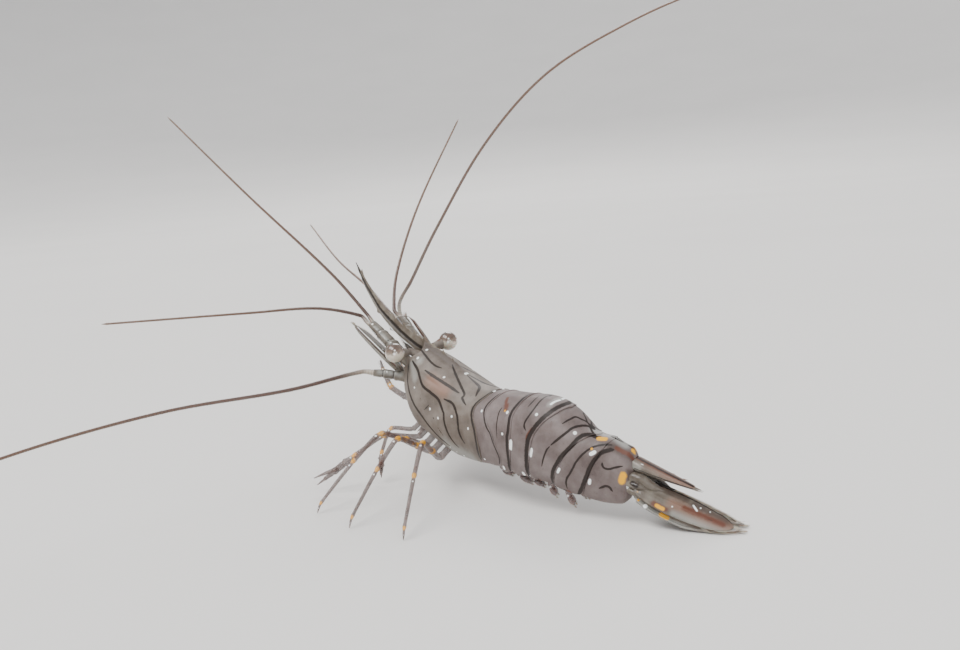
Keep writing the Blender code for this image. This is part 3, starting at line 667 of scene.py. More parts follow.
# trunk: markings first, then the shells that carry them
# each line is (half width, ((station, angle), ...)) on the left side; the right side mirrors it
trunkMarks = {
    "line": (
        (0.19, ((1.85, 92), (1.8, 77), (1.65, 61), (1.1, 45), (1.0, 31), (1.4, 16), (1.9, -7), (1.6, -42))),
        (0.12, ((3.2, 76), (3.1, 61), (2.85, 44), (2.9, 33), (3.6, 11), (4.5, -5), (5.0, -23), (4.6, -40))),
        (0.07, ((5.0, 46), (4.9, 38), (5.0, 21), (5.1, -1))),
        (0.19, ((6.75, 92), (6.7, 78), (6.6, 56), (6.4, 37), (6.5, 12), (6.3, -4), (6.2, -24), (5.7, -50))),
        (0.08, ((7.9, 84), (7.9, 63), (7.8, 52))),
        (0.10, ((8.6, 92), (8.45, 82), (8.4, 49), (8.1, 25), (8.4, 15))),
        (0.24, ((9.9, 92), (9.8, 75), (9.5, 50), (9.15, 30), (8.8, 10), (8.6, -5), (8.55, -21), (8.3, -51))),
        (0.10, ((12.6, 92), (11.8, 90), (11.3, 82), (10.95, 76), (10.86, 66), (10.66, 49))),
        (0.12, ((13.7, 78), (13.4, 72), (12.6, 80), (12.15, 84), (11.76, 72), (11.42, 56), (11.3, 43),
                (11.1, 28), (10.8, 11))),
        (0.09, ((10.75, 8), (10.6, -3), (10.7, -16))),
        (0.20, ((13.75, 67), (13.0, 71), (12.5, 62), (12.3, 48), (12.25, 28), (12.0, 0), (12.0, -18),
                (12.4, -50))),
        (0.10, ((15.8, 63), (14.9, 58), (14.2, 52), (13.8, 44), (13.5, 28), (13.4, 9), (13.43, -4),
                (13.4, -17), (13.75, -38))),
        (0.20, ((16.3, 56), (15.7, 50), (15.05, 41), (14.8, 27), (14.74, 14), (14.8, 0), (14.82, -22),
                (14.65, -52))),
        (0.10, ((15.7, 28), (15.85, 24), (16.15, 22), (16.6, 23), (17.1, 28), (17.9, 35))),
        (0.12, ((16.15, -8), (16.6, -2), (17.05, -2), (17.35, -7))),
        (0.08, ((16.9, 88), (15.4, 84), (14.6, 86))), (0.09, ((17.6, 88), (18.3, 84))),
        (0.10, ((10.4, -46), (10.5, -54))),
        (0.10, ((13.5, -46), (13.8, -54))),
        (0.11, ((-6.9, 84), (-5.0, 70), (-2.4, 52), (-2.1, 44), (-0.7, 37))),
        (0.14, ((-4.6, 88), (-1.7, 79), (-0.3, 59))),
        (0.14, ((-8.6, 38), (-6.7, 43), (-4.6, 47), (-3.0, 48))),
        (0.11, ((-11.6, 14), (-11.3, 3), (-10.5, -7), (-9.5, -12), (-8.0, -15), (-6.3, -18), (-4.0, -28),
                (-1.8, -35))),
        (0.12, ((-11.2, 29), (-9.5, 26), (-7.6, 12), (-6.0, 14), (-4.5, 14), (-3.0, -2), (-0.7, -26))),
        (0.11, ((-4.0, 23), (-2.7, 26), (-1.3, 14), (-0.7, -2), (0.2, -15))),
        (0.08, ((-5.6, -2), (-6.1, -9))),
        (0.07, ((-4.6, -8), (-4.2, -10))),
        (0.07, ((-3.7, -14), (-2.6, -21))),
        (0.06, ((-7.3, -2), (-7.1, -5))),
        (0.10, ((-11.8, 66), (-10.4, 62), (-9.1, 59), (-8.0, 60), (-7.3, 65))),
    ),
    "white": (
        (0.13, ((18.62, 5), (18.66, 1))),
        (0.19, ((-10.8, 44),)), (0.17, ((-11.0, 76),)), (0.16, ((-6.0, 54),)), (0.17, ((-4.9, 88),)),
        (0.15, ((-8.7, -2),)), (0.13, ((-8.3, -35),)), (0.18, ((-5.3, -4),)), (0.17, ((-3.8, -5),)),
        (0.15, ((-2.0, 6),)), (0.16, ((0.8, 0),)), (0.14, ((-0.5, -46),)),
        (0.19, ((1.95, 80),)), (0.16, ((2.5, 34),)), (0.19, ((5.9, 39),)), (0.18, ((8.8, 43),)),
        (0.15, ((5.8, 4),)), (0.17, ((6.8, -1), (6.7, -7))), (0.17, ((9.15, -3), (9.1, -9))),
        (0.15, ((2.3, -39),)), (0.17, ((5.2, -37), (5.1, -42))), (0.17, ((7.6, -42), (7.6, -47))),
        (0.20, ((11.8, 52),)), (0.19, ((14.15, 34), (14.35, 39))), (0.15, ((12.4, -8), (12.4, -13))),
        (0.17, ((15.2, -2), (15.25, -6))),
        # painted highlights: the streak on the back of the third tail plate and the two dots in the silvery
        # patch low on the carapace
        (0.13, ((9.25, 68), (9.3, 76), (9.4, 86))), (0.11, ((-1.9, -37),)), (0.10, ((-1.2, -41),)),
    ),
    "rust": (
        (0.20, ((16.6, 62), (17.6, 61), (18.5, 60))), (0.17, ((18.2, 88),)),
        (0.17, ((4.75, 66), (5.0, 58), (5.3, 51))), (0.27, ((5.35, 51), (5.55, 44))),
        (0.10, ((8.9, 22), (8.6, 12), (8.5, 4))),
        (0.25, ((10.6, -52),)), (0.3, ((13.9, -52),)),
    ),
    "amber": (
        (0.12, ((5.55, 41),)), (0.12, ((13.9, 43),)), (0.31, ((18.1, 21), (18.05, 11))),
        (0.20, ((18.35, 79),)), (0.24, ((13.75, 69), (14.35, 72))),
    ),
    # painted sheen and glints: the gleam on the back of the third tail plate, the sheen along the back of
    # the rear plates, the silvery patch low on the carapace's rear and the bluish glints at its front
    "glowing": (
        (0.26, ((9.2, 66), (9.25, 80), (9.3, 92))),
        (0.34, ((12.5, 86), (13.2, 88), (14.0, 90), (15.6, 84), (17.4, 80))),
        (0.75, ((-2.2, -33), (-1.0, -38), (0.4, -42))),
        (0.5, ((-10.3, 42),)), (0.42, ((-11.0, 22), (-10.2, 18), (-9.2, 8))),
    ),
    "peach": ((0.70, ((-7.1, 33), (-5.5, 34), (-4.6, 35))),),
    "shade": (
        (0.36, ((14.6, 58), (15.3, 60), (16.4, 60), (17.4, 60), (18.6, 57))),
        (0.30, ((18.6, 29), (18.7, 20))), (0.5, ((-11.6, 84), (-9.0, 88), (-6.5, 92))),
    ),
}


def trunkStrokes(kind):
    strokes = []
    for half, points in trunkMarks[kind]:
        rows = np.array([(i, *point) for i, point in enumerate(points)], float)
        if kind == "white":
            half = half * 0.88
        if kind == "line" and rows[0, 1] < 0.5:     # lines on the carapace are bolder
            half = half * 1.25
        route, taper = rows[:, 1:], np.ones(1)
        if len(rows) > 1:
            share = np.linspace(0, len(rows) - 1, 10 * (len(rows) - 1) + 1)
            route, taper = along(rows, share), np.ones(len(share))
            if kind == "line":
                taper = np.minimum(1, 0.45 + 0.55 * np.minimum(share, share[-1] - share) / 0.6)
                taper = np.where(route[:, 1] > 88, 1, taper)
        for angle in (route[:, 1], 180 - route[:, 1]):
            strokes.append((trunkPlace(route[:, 0], angle), half * taper))
    return strokes


trunkFields = {kind: trunkStrokes(kind) for kind in trunkMarks}


def makePlate(name, place, plan, skin, node):  # an open shell with a wall, marked as its smooth form is
    piece = wrap(name, *plan["steps"], place, closed=False)
    paint(piece, place(*gridOf(piece), 0.0), **trunkFields)
    wall = piece.modifiers.new("wall", "SOLIDIFY")
    wall.thickness, wall.offset = plan["wall"] / 1000, -1
    settle(piece, skin, "shell", node)


carapacePlan = {
    "lowest": -57, "wall": 0.14, "steps": (150, 176),
    # angle, station of the front rim, station of the rear rim
    "rims": ((-60, -9.6, 0.9), (-40, -10.5, 1.75), (-20, -11.5, 2.1), (0, -11.9, 2.05), (16, -11.9, 1.65),
             (31, -11.8, 1.25), (45, -11.5, 1.35), (60, -11.3, 1.9), (75, -11.7, 2.0), (90, -12.2, 2.05)),
    # angle, width in degrees and length of the spines on the front rim
    "spines": ((22, 5.5, 0.75), (-4, 5.0, 0.55)),
}


def rimAt(angle, column):
    folded = 90 - np.abs(np.asarray(angle, float) - 90)
    return along(carapacePlan["rims"], folded)[:, column], folded


def makeCarapace():
    low = carapacePlan["lowest"]

    def place(u, v, relief=1.0):
        angle = low + (180 - 2 * low) * v
        front, folded = rimAt(angle, 0)
        rear, _ = rimAt(angle, 1)
        for at, width, length in carapacePlan["spines"]:
            front = front - length * np.exp(-np.abs((folded - at) / width) ** 1.3)
        station = front + (rear - front) * u
        # a raised ridge behind the spine, a shallow groove on the cheek and a lip all round
        cheek = bump(folded, 22, 7) * bump(u, 0.0, 0.22) * 0.16
        groove = bump(folded, 30 + 25 * (u - 0.35), 5) * bump(u, 0.36, 0.10) * -0.10
        gill = bump(folded, -8, 22) * bump(u, 0.62, 0.28) * 0.10
        crest = 0.42 * bump(folded, 90, 6.5) * np.clip((-4.6 - station) / 2.2, 0, 1)
        jowl = 0.62 * bump(folded, -34, 30) * bump(station, -8.8, 3.4)
        lip = 0.07 * np.exp(-(1 - u) / 0.012) + 0.05 * np.exp(-u / 0.012)
        lip = lip + 0.05 * np.exp(-(folded - low) / 2.5)
        return trunkPlace(station, angle, (cheek + groove + gill + crest + jowl + lip) * relief)

    makePlate("carapaceShell", place, carapacePlan, headShell, "carapace")


makeCarapace()
print("carapace made")

segmentPlan = {
    "tuck": 0.9, "wall": 0.13, "steps": (60, 168),
    # rear rim of each segment: its station at angles -55, -20, 10, 35, 60 and 90
    "rims": ((1.0, 2.1, 1.6, 1.2, 1.8, 2.0),
             (4.5, 5.2, 3.9, 3.05, 3.3, 3.5),
             (5.9, 6.45, 6.75, 6.65, 6.85, 7.0),
             (8.6, 8.85, 9.1, 9.5, 9.95, 10.25),
             (12.6, 12.25, 12.2, 12.4, 12.75, 13.45),
             (14.95, 15.0, 14.9, 14.9, 15.05, 15.55),
             (18.75, 18.95, 18.95, 18.8, 18.7, 18.75)),
    # lowest angle, bulge of the lower edge and rise of the back, from the first segment
    "lowest": (-54, -60, -58, -57, -56, -54),
    "flaps": (0.05, 0.40, 0.30, 0.30, 0.25, 0.0),
    "humps": (0.0, 0.0, 0.10, 0.05, 0.03, 0.0),
}
rimAngles = (-55, -20, 10, 35, 60, 90)


def segmentRim(number, folded):
    return along(list(zip(rimAngles, segmentPlan["rims"][number])), folded)[:, 0]


def makeSegment(number):
    low = segmentPlan["lowest"][number - 1]

    def place(u, v, relief=1.0):
        edge = low + 16 * (1 - np.sin(math.pi * np.clip(u, 0.0, 1.0)) ** 0.5) * (number < 6)
        angle = edge + (180 - 2 * edge) * v
        folded = 90 - np.abs(angle - 90)
        front = segmentRim(number - 1, folded) - segmentPlan["tuck"]
        rear = segmentRim(number, folded)
        station = front + (rear - front) * u
        tucked = np.clip((station - front) / (segmentPlan["tuck"] + 0.35), 0, 1)
        lift = -0.24 * (1 - tucked ** 2 * (3 - 2 * tucked))
        lift = lift + segmentPlan["humps"][number - 1] * bump(u, 0.75, 0.3) * bump(folded, 90, 60)
        lift = lift + 0.06 * np.exp(-(1 - u) / 0.03) + 0.04 * np.exp(-(folded - edge) / 2.5)
        if number == 6:         # draws in to meet the tail fan
            behind = np.clip((station - rear + 0.75) / 0.75, 0, 1)
            lift = lift - 0.62 * behind ** 2.2
        flap = segmentPlan["flaps"][number - 1] * np.sin(math.pi * np.clip(u, 0, 1))
        return trunkPlace(station, angle, lift * relief, flap * relief)

    makePlate(f"tailPlate{number}", place, segmentPlan, tailShell, f"abdomen_{number}")


for number in range(1, 7):
    makeSegment(number)
print("tail plates made")


fleshPlan = {
    "front": -12.7, "length": 31.62, "steps": (220, 72),
    "ribHeight": 0.06, "ribEvery": 2.6, "ribsBehind": 1,
    # share of the length, lift from the shells
    "lift": ((0, -0.30), (0.05, -0.24), (0.6, -0.30), (0.94, -0.34), (1, -0.45)),
}


def makeFlesh():  # the soft underside that shows between the plates
    plan = fleshPlan

    def place(u, v):
        station = plan["front"] + plan["length"] * u
        end = np.sqrt(np.clip(np.minimum(u / 0.035, (1 - u) / 0.03), 0, 1))
        ribs = plan["ribHeight"] * np.sin(station * 2 * math.pi / plan["ribEvery"])
        lift = along(plan["lift"], u)[:, 0] + ribs * (station > plan["ribsBehind"])
        heart = spineAt(station)[0]
        return heart + (trunkPlace(station, -90 + 360 * v, lift) - heart) * end[:, None]

    piece = wrap("softCore", *plan["steps"], place)
    paint(piece)
    settle(piece, tailShell, "shell")


makeFlesh()


def joined(name, *pieces):  # several meshes made into one piece
    shape = bmesh.new()
    for piece in pieces:
        shape.from_mesh(piece.data)
        bpy.data.objects.remove(piece)
    return built(name, shape)


def crisp(joints, reach=0.14):  # places beside each joint, so that the lengths between stay straight
    rows = [joints[0]]
    for before, (b, rb), after in zip(joints, joints[1:], joints[2:]):
        b = np.asarray(b, float)
        for other, r in (before, after):
            rows.append((b + (np.asarray(other, float) - b) * reach, rb + (r - rb) * reach))
    return rows + [joints[-1]]


def bristles(name, roots, ways, lengths, thick=0.016):  # three-sided hairs
    shape = newShape()
    for root, way, length in zip(roots, unit(np.asarray(ways, float)), lengths):
        turn = Vector(way).to_track_quat("Z", "Y").to_matrix().to_4x4()
        middle = Vector(toWorld(np.asarray(root) + way * length * 0.5))
        bmesh.ops.create_cone(shape, segments=3, radius1=thick / 1000, radius2=thick / 9000,
                              depth=length / 1000, cap_ends=True, cap_tris=True,
                              matrix=Matrix.Translation(middle) @ turn)
    return built(name, shape)


def headPath(rows, side=1):  # joints for pathTable, from rows of (forward, out, up, radius)
    return [(headPlace(f, side * s, h), r) for f, s, h, r in rows]


sides = (("left", 1), ("right", -1))

# rostrum
rostrumPlan = {
    # rows are (forward, up); a tooth is given by the place of its tip
    "start": 6.4, "end": 26.6, "steps": (460, 40),
    "top": ((6.4, 2.95), (9.0, 3.05), (11.5, 2.85), (14.0, 2.5), (17.0, 2.3), (20.0, 2.65), (23.0, 3.5),
            (26.6, 4.98)),
    "bottom": ((6.4, 2.2), (9.0, 2.1), (11.0, 1.7), (12.6, 0.95), (15.0, 0.7), (18.0, 0.85), (21.0, 1.6),
               (24.0, 3.0), (26.6, 4.86)),
    "rib": ((6.4, 2.5), (11.0, 2.2), (12.6, 1.75), (14.2, 1.62), (16.7, 1.66), (20.4, 2.12), (22.4, 2.85),
            (24.5, 3.75), (26.6, 4.92)),
    "teethAbove": (7.4, 9.1, 10.8, 12.5, 14.3, 16.2, 18.3, 25.3), "teethBelow": (15.5, 18.2, 21.0),
    "toothLength": 0.85, "toothHeight": 0.40, "toothFront": 0.08,
    # hairs beside the teeth: places in front of each, rise from the edge, slope, length
    "hairsAbove": ((0.14, 0.26, 0.38, 0.50, 0.62), -0.03, 0.75, 0.32),
    "hairsBelow": ((0.2, 0.35, 0.5, 0.65), 0.03, -0.75, 0.34),
}


def teethAt(forward, teeth, scale=1.0):
    rise = np.zeros_like(forward)
    for tooth in teeth:
        back = (forward - tooth + rostrumPlan["toothLength"]) / rostrumPlan["toothLength"]
        front = (tooth + rostrumPlan["toothFront"] - forward) / rostrumPlan["toothFront"]
        rise = np.maximum(rise, np.clip(np.minimum(np.clip(back, 0, 1) ** 1.7, front), 0, 1))
    return rise * rostrumPlan["toothHeight"] * scale


def makeRostrum():
    plan = rostrumPlan

    def place(u, v):
        forward = plan["start"] + (plan["end"] - plan["start"]) * u
        top = along(plan["top"], forward)[:, 0] + teethAt(forward, plan["teethAbove"])
        low = along(plan["bottom"], forward)[:, 0] - teethAt(forward, plan["teethBelow"], 0.8)
        rib = along(plan["rib"], forward)[:, 0]
        turn = 2 * math.pi * v
        height = (top + low) / 2 + (top - low) / 2 * np.cos(turn)
        slim = np.clip((plan["end"] - forward) / 3.0, 0.08, 1) ** 0.7 * np.clip(0.4 + u * 8, 0, 1)
        thick = 0.05 + 0.12 * (1 - np.cos(turn) ** 2) + 0.07 * bump(height, rib, 0.22)
        thick = thick + 0.14 * bump(height, low + 0.14, 0.13)
        return headPlace(forward, np.sin(turn) * thick * slim, height)

    piece = wrap("rostrumBlade", *plan["steps"], place)
    marks = {"line": [], "white": []}
    for side in (-1, 1):
        run = np.linspace(12.3, 26.6, 70)
        rib = headPlace(run, side * np.interp(run, (12.3, 20, 26.6), (0.26, 0.18, 0.05)),
                        along(plan["rib"], run)[:, 0])
        marks["line"].append((rib, np.interp(run, (12.3, 18, 22, 26.6), (0.22, 0.22, 0.19, 0.13))))
        # the white strokes along the lower edge are a painted highlight on the pale edge, and the dark line
        # just under each is painted edge shade
        for first, last, thick in ((21.2, 26.3, 0.12), (13.2, 20.2, 0.09)):
            edge = np.linspace(first, last, 40)
            lower = headPlace(edge, side * 0.12, along(plan["bottom"], edge)[:, 0] + 0.10)
            ends = np.clip(np.minimum(edge - first, last - edge) / 1.2, 0.3, 1)
            marks["white"].append((lower, thick * ends))
            marks["line"].append((lower - headPlace(0, 0, 0.24), 0.09))
    paint(piece, **marks)
    settle(piece, snoutShell, "clear_shell", "rostrum")
    roots, ways, lengths = [], [], []
    for teeth, edge, hairs in ((plan["teethAbove"][1:-1], "top", plan["hairsAbove"]),
                               (plan["teethBelow"], "bottom", plan["hairsBelow"])):
        steps, rise, slope, length = hairs
        for forward in [tooth + step for tooth in teeth for step in steps]:
            roots.append(headPlace(forward, 0, along(plan[edge], forward)[0, 0] + rise))
            ways.append(headPlace(1.0, 0, slope))
            lengths.append(length)
    settle(bristles("rostrumHair", roots, ways, lengths), paleHair, "clear_shell")


makeRostrum()
print("rostrum made")

# eyes and their stalks
eyeLook = {
    "stalk": ((11.3, 0.2, 0.75, 0.70), (12.2, 0.75, 1.05, 0.52), (12.75, 1.3, 1.22, 0.38),
              (12.7, 1.8, 1.3, 0.38), (12.6, 2.5, 1.45, 0.52), (12.56, 2.85, 1.5, 0.66)),
    # directions of the painted highlights and the pupil, (to each side, back, up), and their half widths
    "white": (((0.52, 0.76, 0.42), 0.09), ((0.62, 0.78, 0.06), 0.14), ((0.42, 0.90, 0.20), 0.06)),
    "line": (((0.70, 0.66, 0.28), 0.07),),
    "tip": 78,                  # degrees the ball leans outwards
}


def makeEye(label, side):
    forward, out, up = eyePlan["centre"]
    centre, radius = headPlace(forward, side * out, up), eyePlan["radius"]
    shape = newShape()
    bmesh.ops.create_uvsphere(shape, u_segments=64, v_segments=40, radius=radius / 1000)
    tip = Matrix.Rotation(math.radians(side * eyeLook["tip"]), 4, "Y")
    shape.transform(Matrix.Translation(Vector(toWorld(centre))) @ tip)
    piece = built(f"{label}Eye", shape)
    paint(piece, **{kind: [(centre + unit(np.array([mirror * x, back, rise])) * radius, half)
                           for mirror in (-1, 1) for (x, back, rise), half in eyeLook[kind]]
                    for kind in ("white", "line")})
    store(piece, "height", (pointsOf(piece)[:, 2] - centre[2]) / radius * 0.42 + 0.36)
    settle(piece, eyeSkin, "eye", f"eye_{label}")

    def place(u, turn, radius):
        return radius * (1 - 0.05 * bump(u, 0.45, 0.1) + 0.03 * np.cos(3 * turn))

    stalk = sweep(f"{label}EyeStalk", pathTable(headPath(eyeLook["stalk"], side), 60), 40, 36, place)
    paint(stalk, rust=[(headPlace(12.6, side * 2.5, 1.45) + np.array([0, 0, 0.6]), 0.3)],
          line=[(headPlace(12.8, side * 1.7, 1.7), 0.16)])
    settle(stalk, headShell, "shell", f"eyestalk_{label}")


for label, side in sides:
    makeEye(label, side)
print("eyes made")

# antennules: a three-jointed stem with two feelers each
antennulePlan = {
    # the stem's rows are forward, out, up, radius; the whips' are x, y, height over the ground
    "stem": ((11.6, 1.0, -0.55, 0.50), (12.1, 1.12, -0.40, 0.52), (14.2, 1.5, 0.25, 0.74),
             (16.8, 1.75, 0.75, 0.67), (19.4, 1.9, 1.1, 0.53)),
    "joints": (0.53, 0.76), "offset": 0.34, "lead": (21.0, 1.3, 1.3),
    "whips": {"left_outer": ((8, -18, 19.2), (17, -16.4, 20.2), (33, -14, 21.8)),
              "left_inner": ((3.8, -21.3, 22.4), (9, -28.7, 31.7), (14, -37, 41.7)),
              "right_outer": ((-6, -22, 21.5), (-10, -22, 29), (-15, -19, 39)),
              "right_inner": ((-3.6, -25, 19.6), (-6, -35, 22.5), (-9, -46, 27))},
    "thick": (0.27, 0.24, 0.20, 0.15, 0.10),
    "spine": ((13.2, 1.75, -0.05, 0.24), (14.4, 2.05, 0.25, 0.17), (15.6, 2.1, 0.5, 0.02)),
    "lines": ((0.34, 0.36), (0.30, -0.42), (-0.36, 0.28), (0.53, -0.10)),   # upper, lower, inner, outer
}


def jointed(joints, depth=0.16, flare=0.10, width=0.018):
    # a stem that narrows just after each joint and flares just before it
    def shape(u, turn, radius):
        change = np.zeros_like(u)
        for at in joints:
            change = change - depth * bump(u, at + width * 0.8, width)
            change = change + flare * bump(u, at - width * 1.6, width * 1.6)
        return radius * (1 + change)
    return shape


def makeWhip(name, node, places, thick, rings, material):
    radii = np.interp(np.linspace(0, 1, len(places)), np.linspace(0, 1, len(thick)), thick)
    table = pathTable(list(zip(places, radii)), 500)

    def shape(u, turn, radius):
        step = (u * rings) % 1.0
        return radius * (0.92 + 0.16 * step ** 2) * np.clip((1.002 - u) * 60, 0.15, 1)

    piece = sweep(name, table, rings * 4, 10, shape)
    settle(piece, material, "feeler", *node)


def makeAntennule(label, side):
    plan = antennulePlan
    table = pathTable(headPath(plan["stem"], side))
    joint = jointed(plan["joints"])

    def shape(u, turn, radius):
        size = joint(u, turn, radius) * (1 + 0.05 * np.cos(2 * turn) * (u < 0.5))
        end = np.clip((1 - u) / 0.02, 0, 1) ** 0.5
        return size * 1.12 * end, size * 0.88 * end

    stem = sweep(f"{label}AntennuleStem", table, 150, 36, shape)
    spine = sweep("spine", pathTable(headPath(plan["spine"], side)), 24, 12, even)
    piece = joined(f"{label}AntennuleBase", stem, spine)
    run = onPath(table, np.linspace(0.16, 0.99, 40))
    rows, swell = run[:, :3], run[:, 3:4] / 0.5
    upper, lower, inner, outer = (headPlace(0, side * x, z) * swell for x, z in plan["lines"])
    # the pale stroke along the upper side, and the white dots on it, along the outer side and before each
    # joint, are painted highlights
    marks = {"glowing": [(rows[4:34] + upper[4:34], 0.16)], "amber": [(rows[18] + upper[18] * 0.6, 0.12)],
             "white": [(rows[at] + upper[at] * 1.02, 0.12) for at in (8, 15, 27, 36)],
             "line": [(rows + lower, 0.10), (rows + inner, 0.09)]}
    marks["white"].append((rows[14:] + outer[14:], 0.08))
    for at in plan["joints"]:
        ring, size = onPath(table, at + 0.006)[:3], onPath(table, at)[3] / 0.5
        marks["line"].append((ring + headPlace(0, side * 0.34, 0.36) * size, 0.10))
        marks["white"].append((onPath(table, at - 0.03)[:3] + headPlace(0, side * 0.42, 0.24) * size, 0.10))
    paint(piece, **marks)
    settle(piece, clearBlade, "clear_shell", f"antennule_{label}")
    forward, out, up, _ = plan["stem"][-1]
    ahead, spread, high = plan["lead"]
    for branch, offset in (("outer", plan["offset"]), ("inner", -plan["offset"])):
        places = [headPlace(forward - 0.4, side * (out + offset * 0.7), up - 0.02),
                  headPlace(forward + 0.4, side * (out + offset), up),
                  headPlace(ahead, side * (out + spread * offset), high)]
        places += [groundPlace(*point) for point in plan["whips"][f"{label}_{branch}"]]
        makeWhip(f"{label}Antennule{branch.title()}Feeler", [f"antennule_{label}_{branch}"], places,
                 plan["thick"], 150, feelerSkin)


for label, side in sides:
    makeAntennule(label, side)
print("antennules made")

# antennae: stout stems and the longest feelers
antennaPlan = {
    # rows as for the antennules
    "stems": {"left": ((11.5, 1.6, -1.45, 0.62), (12.15, 2.1, -1.5, 0.56), (13.3, 3.2, -1.65, 0.50),
                       (14.4, 4.5, -1.85, 0.38)),
              "right": ((11.3, -1.9, -1.45, 0.62), (12.15, -2.1, -1.5, 0.56), (14.3, -2.8, -1.8, 0.48),
                        (16.4, -3.3, -1.8, 0.38))},
    "joints": (0.42, 0.72), "lead": 1.2,
    "whips": {"left": ((14, -15.4, 11.6), (27, -18, 11.7), (42, -18.2, 10.8), (58, -14, 9.2), (72, -6, 7.6),
                       (83, 4, 6.2)),
              "right": ((-4, -19.6, 17.4), (-5.2, -18.2, 20.6), (-8, -16.2, 26.4), (-12, -11.2, 35.5),
                        (-15, -3.7, 42.4), (-18, 5.8, 46.5), (-20.5, 14.5, 48.6), (-23.5, 26, 49.2),
                        (-26.5, 37, 48))},
    "thick": (0.34, 0.26, 0.21, 0.18, 0.155, 0.13, 0.11, 0.09),
}


def makeAntenna(label):
    plan = antennaPlan
    stem = plan["stems"][label]
    table = pathTable(headPath(stem))
    joint = jointed(plan["joints"], 0.15, 0.12, 0.03)

    def shape(u, turn, radius):
        return joint(u, turn, radius) * np.clip((1.0 - u) / 0.02, 0.1, 1) ** 0.4

    piece = sweep(f"{label}AntennaBase", table, 110, 36, shape)
    rows = onPath(table, np.linspace(0.2, 0.97, 30))[:, :3]
    # the white dot and the pale stroke along the upper side are painted highlights
    marks = {"line": [(rows + [0, 0.1, 0.45], 0.09), (rows - [0, -0.1, 0.45], 0.10)],
             "white": [(onPath(table, 0.66)[:3] + np.array([0.1, 0.35, 0.25]), 0.12)],
             "glowing": [(rows[3:24] + [0.2, 0.3, 0.3], 0.3)]}
    turn = np.linspace(0, 2 * math.pi, 24)[:, None]
    for at in plan["joints"]:
        ring = onPath(table, at + 0.02)
        circle = ring[4:7] * np.cos(turn) + ring[7:10] * np.sin(turn)
        marks["line"].append((ring[:3] + 0.46 * circle, 0.07))
    paint(piece, **marks)
    settle(piece, clearBlade, "clear_shell", f"antenna_{label}_stem")
    tip, before = headPlace(*stem[-1][:3]), headPlace(*stem[-2][:3])
    ahead = unit(tip - before)
    places = [tip - ahead * 0.35, tip + ahead * plan["lead"]]
    places += [groundPlace(*point) for point in plan["whips"][label]]
    material = feelerSkin if label == "left" else whiteFeeler
    makeWhip(f"{label}AntennaFeeler", [f"antenna_{label}_{n}" for n in (1, 2, 3)], places,
             plan["thick"], 380, material)


for label in antennaPlan["stems"]:
    makeAntenna(label)
print("antennae made")


# blades: the antennal scales and the tail fan are built alike
def leafFrame(root, ahead, upwards):
    x = unit(ahead)
    y = unit(np.cross(upwards, x))
    return np.asarray(root, float), x, y, np.cross(x, y)


def leafAt(frame, plan, share, across, rise=0.0):  # across runs from -1 (inner edge) to 1 (outer edge)
    root, x, y, z = frame
    share, across, rise = evened(np.atleast_1d(share), across, rise)
    outer, inner = leafEdges(plan, share)
    sideways = np.where(across > 0, across * outer, across * inner) * plan["side"]
    droop = plan.get("cup", 0.0) * across ** 2
    middle = root + x * (share * plan["length"])[:, None] + y * sideways[:, None] - z * droop[:, None]
    over = middle[:, 2] - bodyPlan["ground"] - 0.13     # a blade bends where it meets the ground
    bent = 0.5 * np.exp(np.minimum(over - 0.5, 0) / 0.5) - over
    middle[:, 2] += np.where(over < 0.5, bent, 0)
    return middle + z * rise[:, None]


def onLeaf(frame, plan, high):
    # places on a blade; a share or a way across may be a number or (first, last, count)
    def on(share, across, rise=high):
        return leafAt(frame, plan, *(np.linspace(*each) if isinstance(each, tuple) else each
                                     for each in (share, across)), rise)
    return on


def leafEdges(plan, share):
    fat = plan["root"] + (1 - plan["root"]) * np.sin(math.pi * np.clip(share, 0, 1) ** plan["bulge"]) ** 0.6
    blunt = np.sqrt(np.clip((1 - share) / plan["tipLength"], 0, 1)) * 0.96 + 0.04
    near = np.where(share > 0.5, np.maximum(fat, plan["tipFullness"]), fat) * blunt
    return plan["width"] * plan["outer"] * near, plan["width"] * (1 - plan["outer"]) * near


def makeLeaf(name, frame, plan):
    def place(u, v):
        turn = 2 * math.pi * v
        across = np.cos(turn)
        rib = plan["ribHeight"] * bump(across, plan["ribAt"], 0.10) * np.clip((0.93 - u) / 0.3, 0, 1)
        second = 0.5 * plan["ribHeight"] * bump(across, plan["ribAt"] - 0.5, 0.08)
        second = second * np.clip((0.8 - u) / 0.3, 0, 1)
        margin = 0.035 * bump(np.abs(across), 0.97, 0.05)
        body = plan["thick"] * (1 - across ** 4) * (1 - 0.6 * u) + 0.03
        height = np.sin(turn) * body / np.maximum(np.abs(np.sin(turn)), 0.25)
        height = height + np.sign(np.sin(turn)) * (rib + second + margin) * np.abs(np.sin(turn)) ** 0.5
        return leafAt(frame, plan, u, across, height * np.clip(0.3 + u * 8, 0, 1))
    return wrap(name, plan["steps"], 72, place)


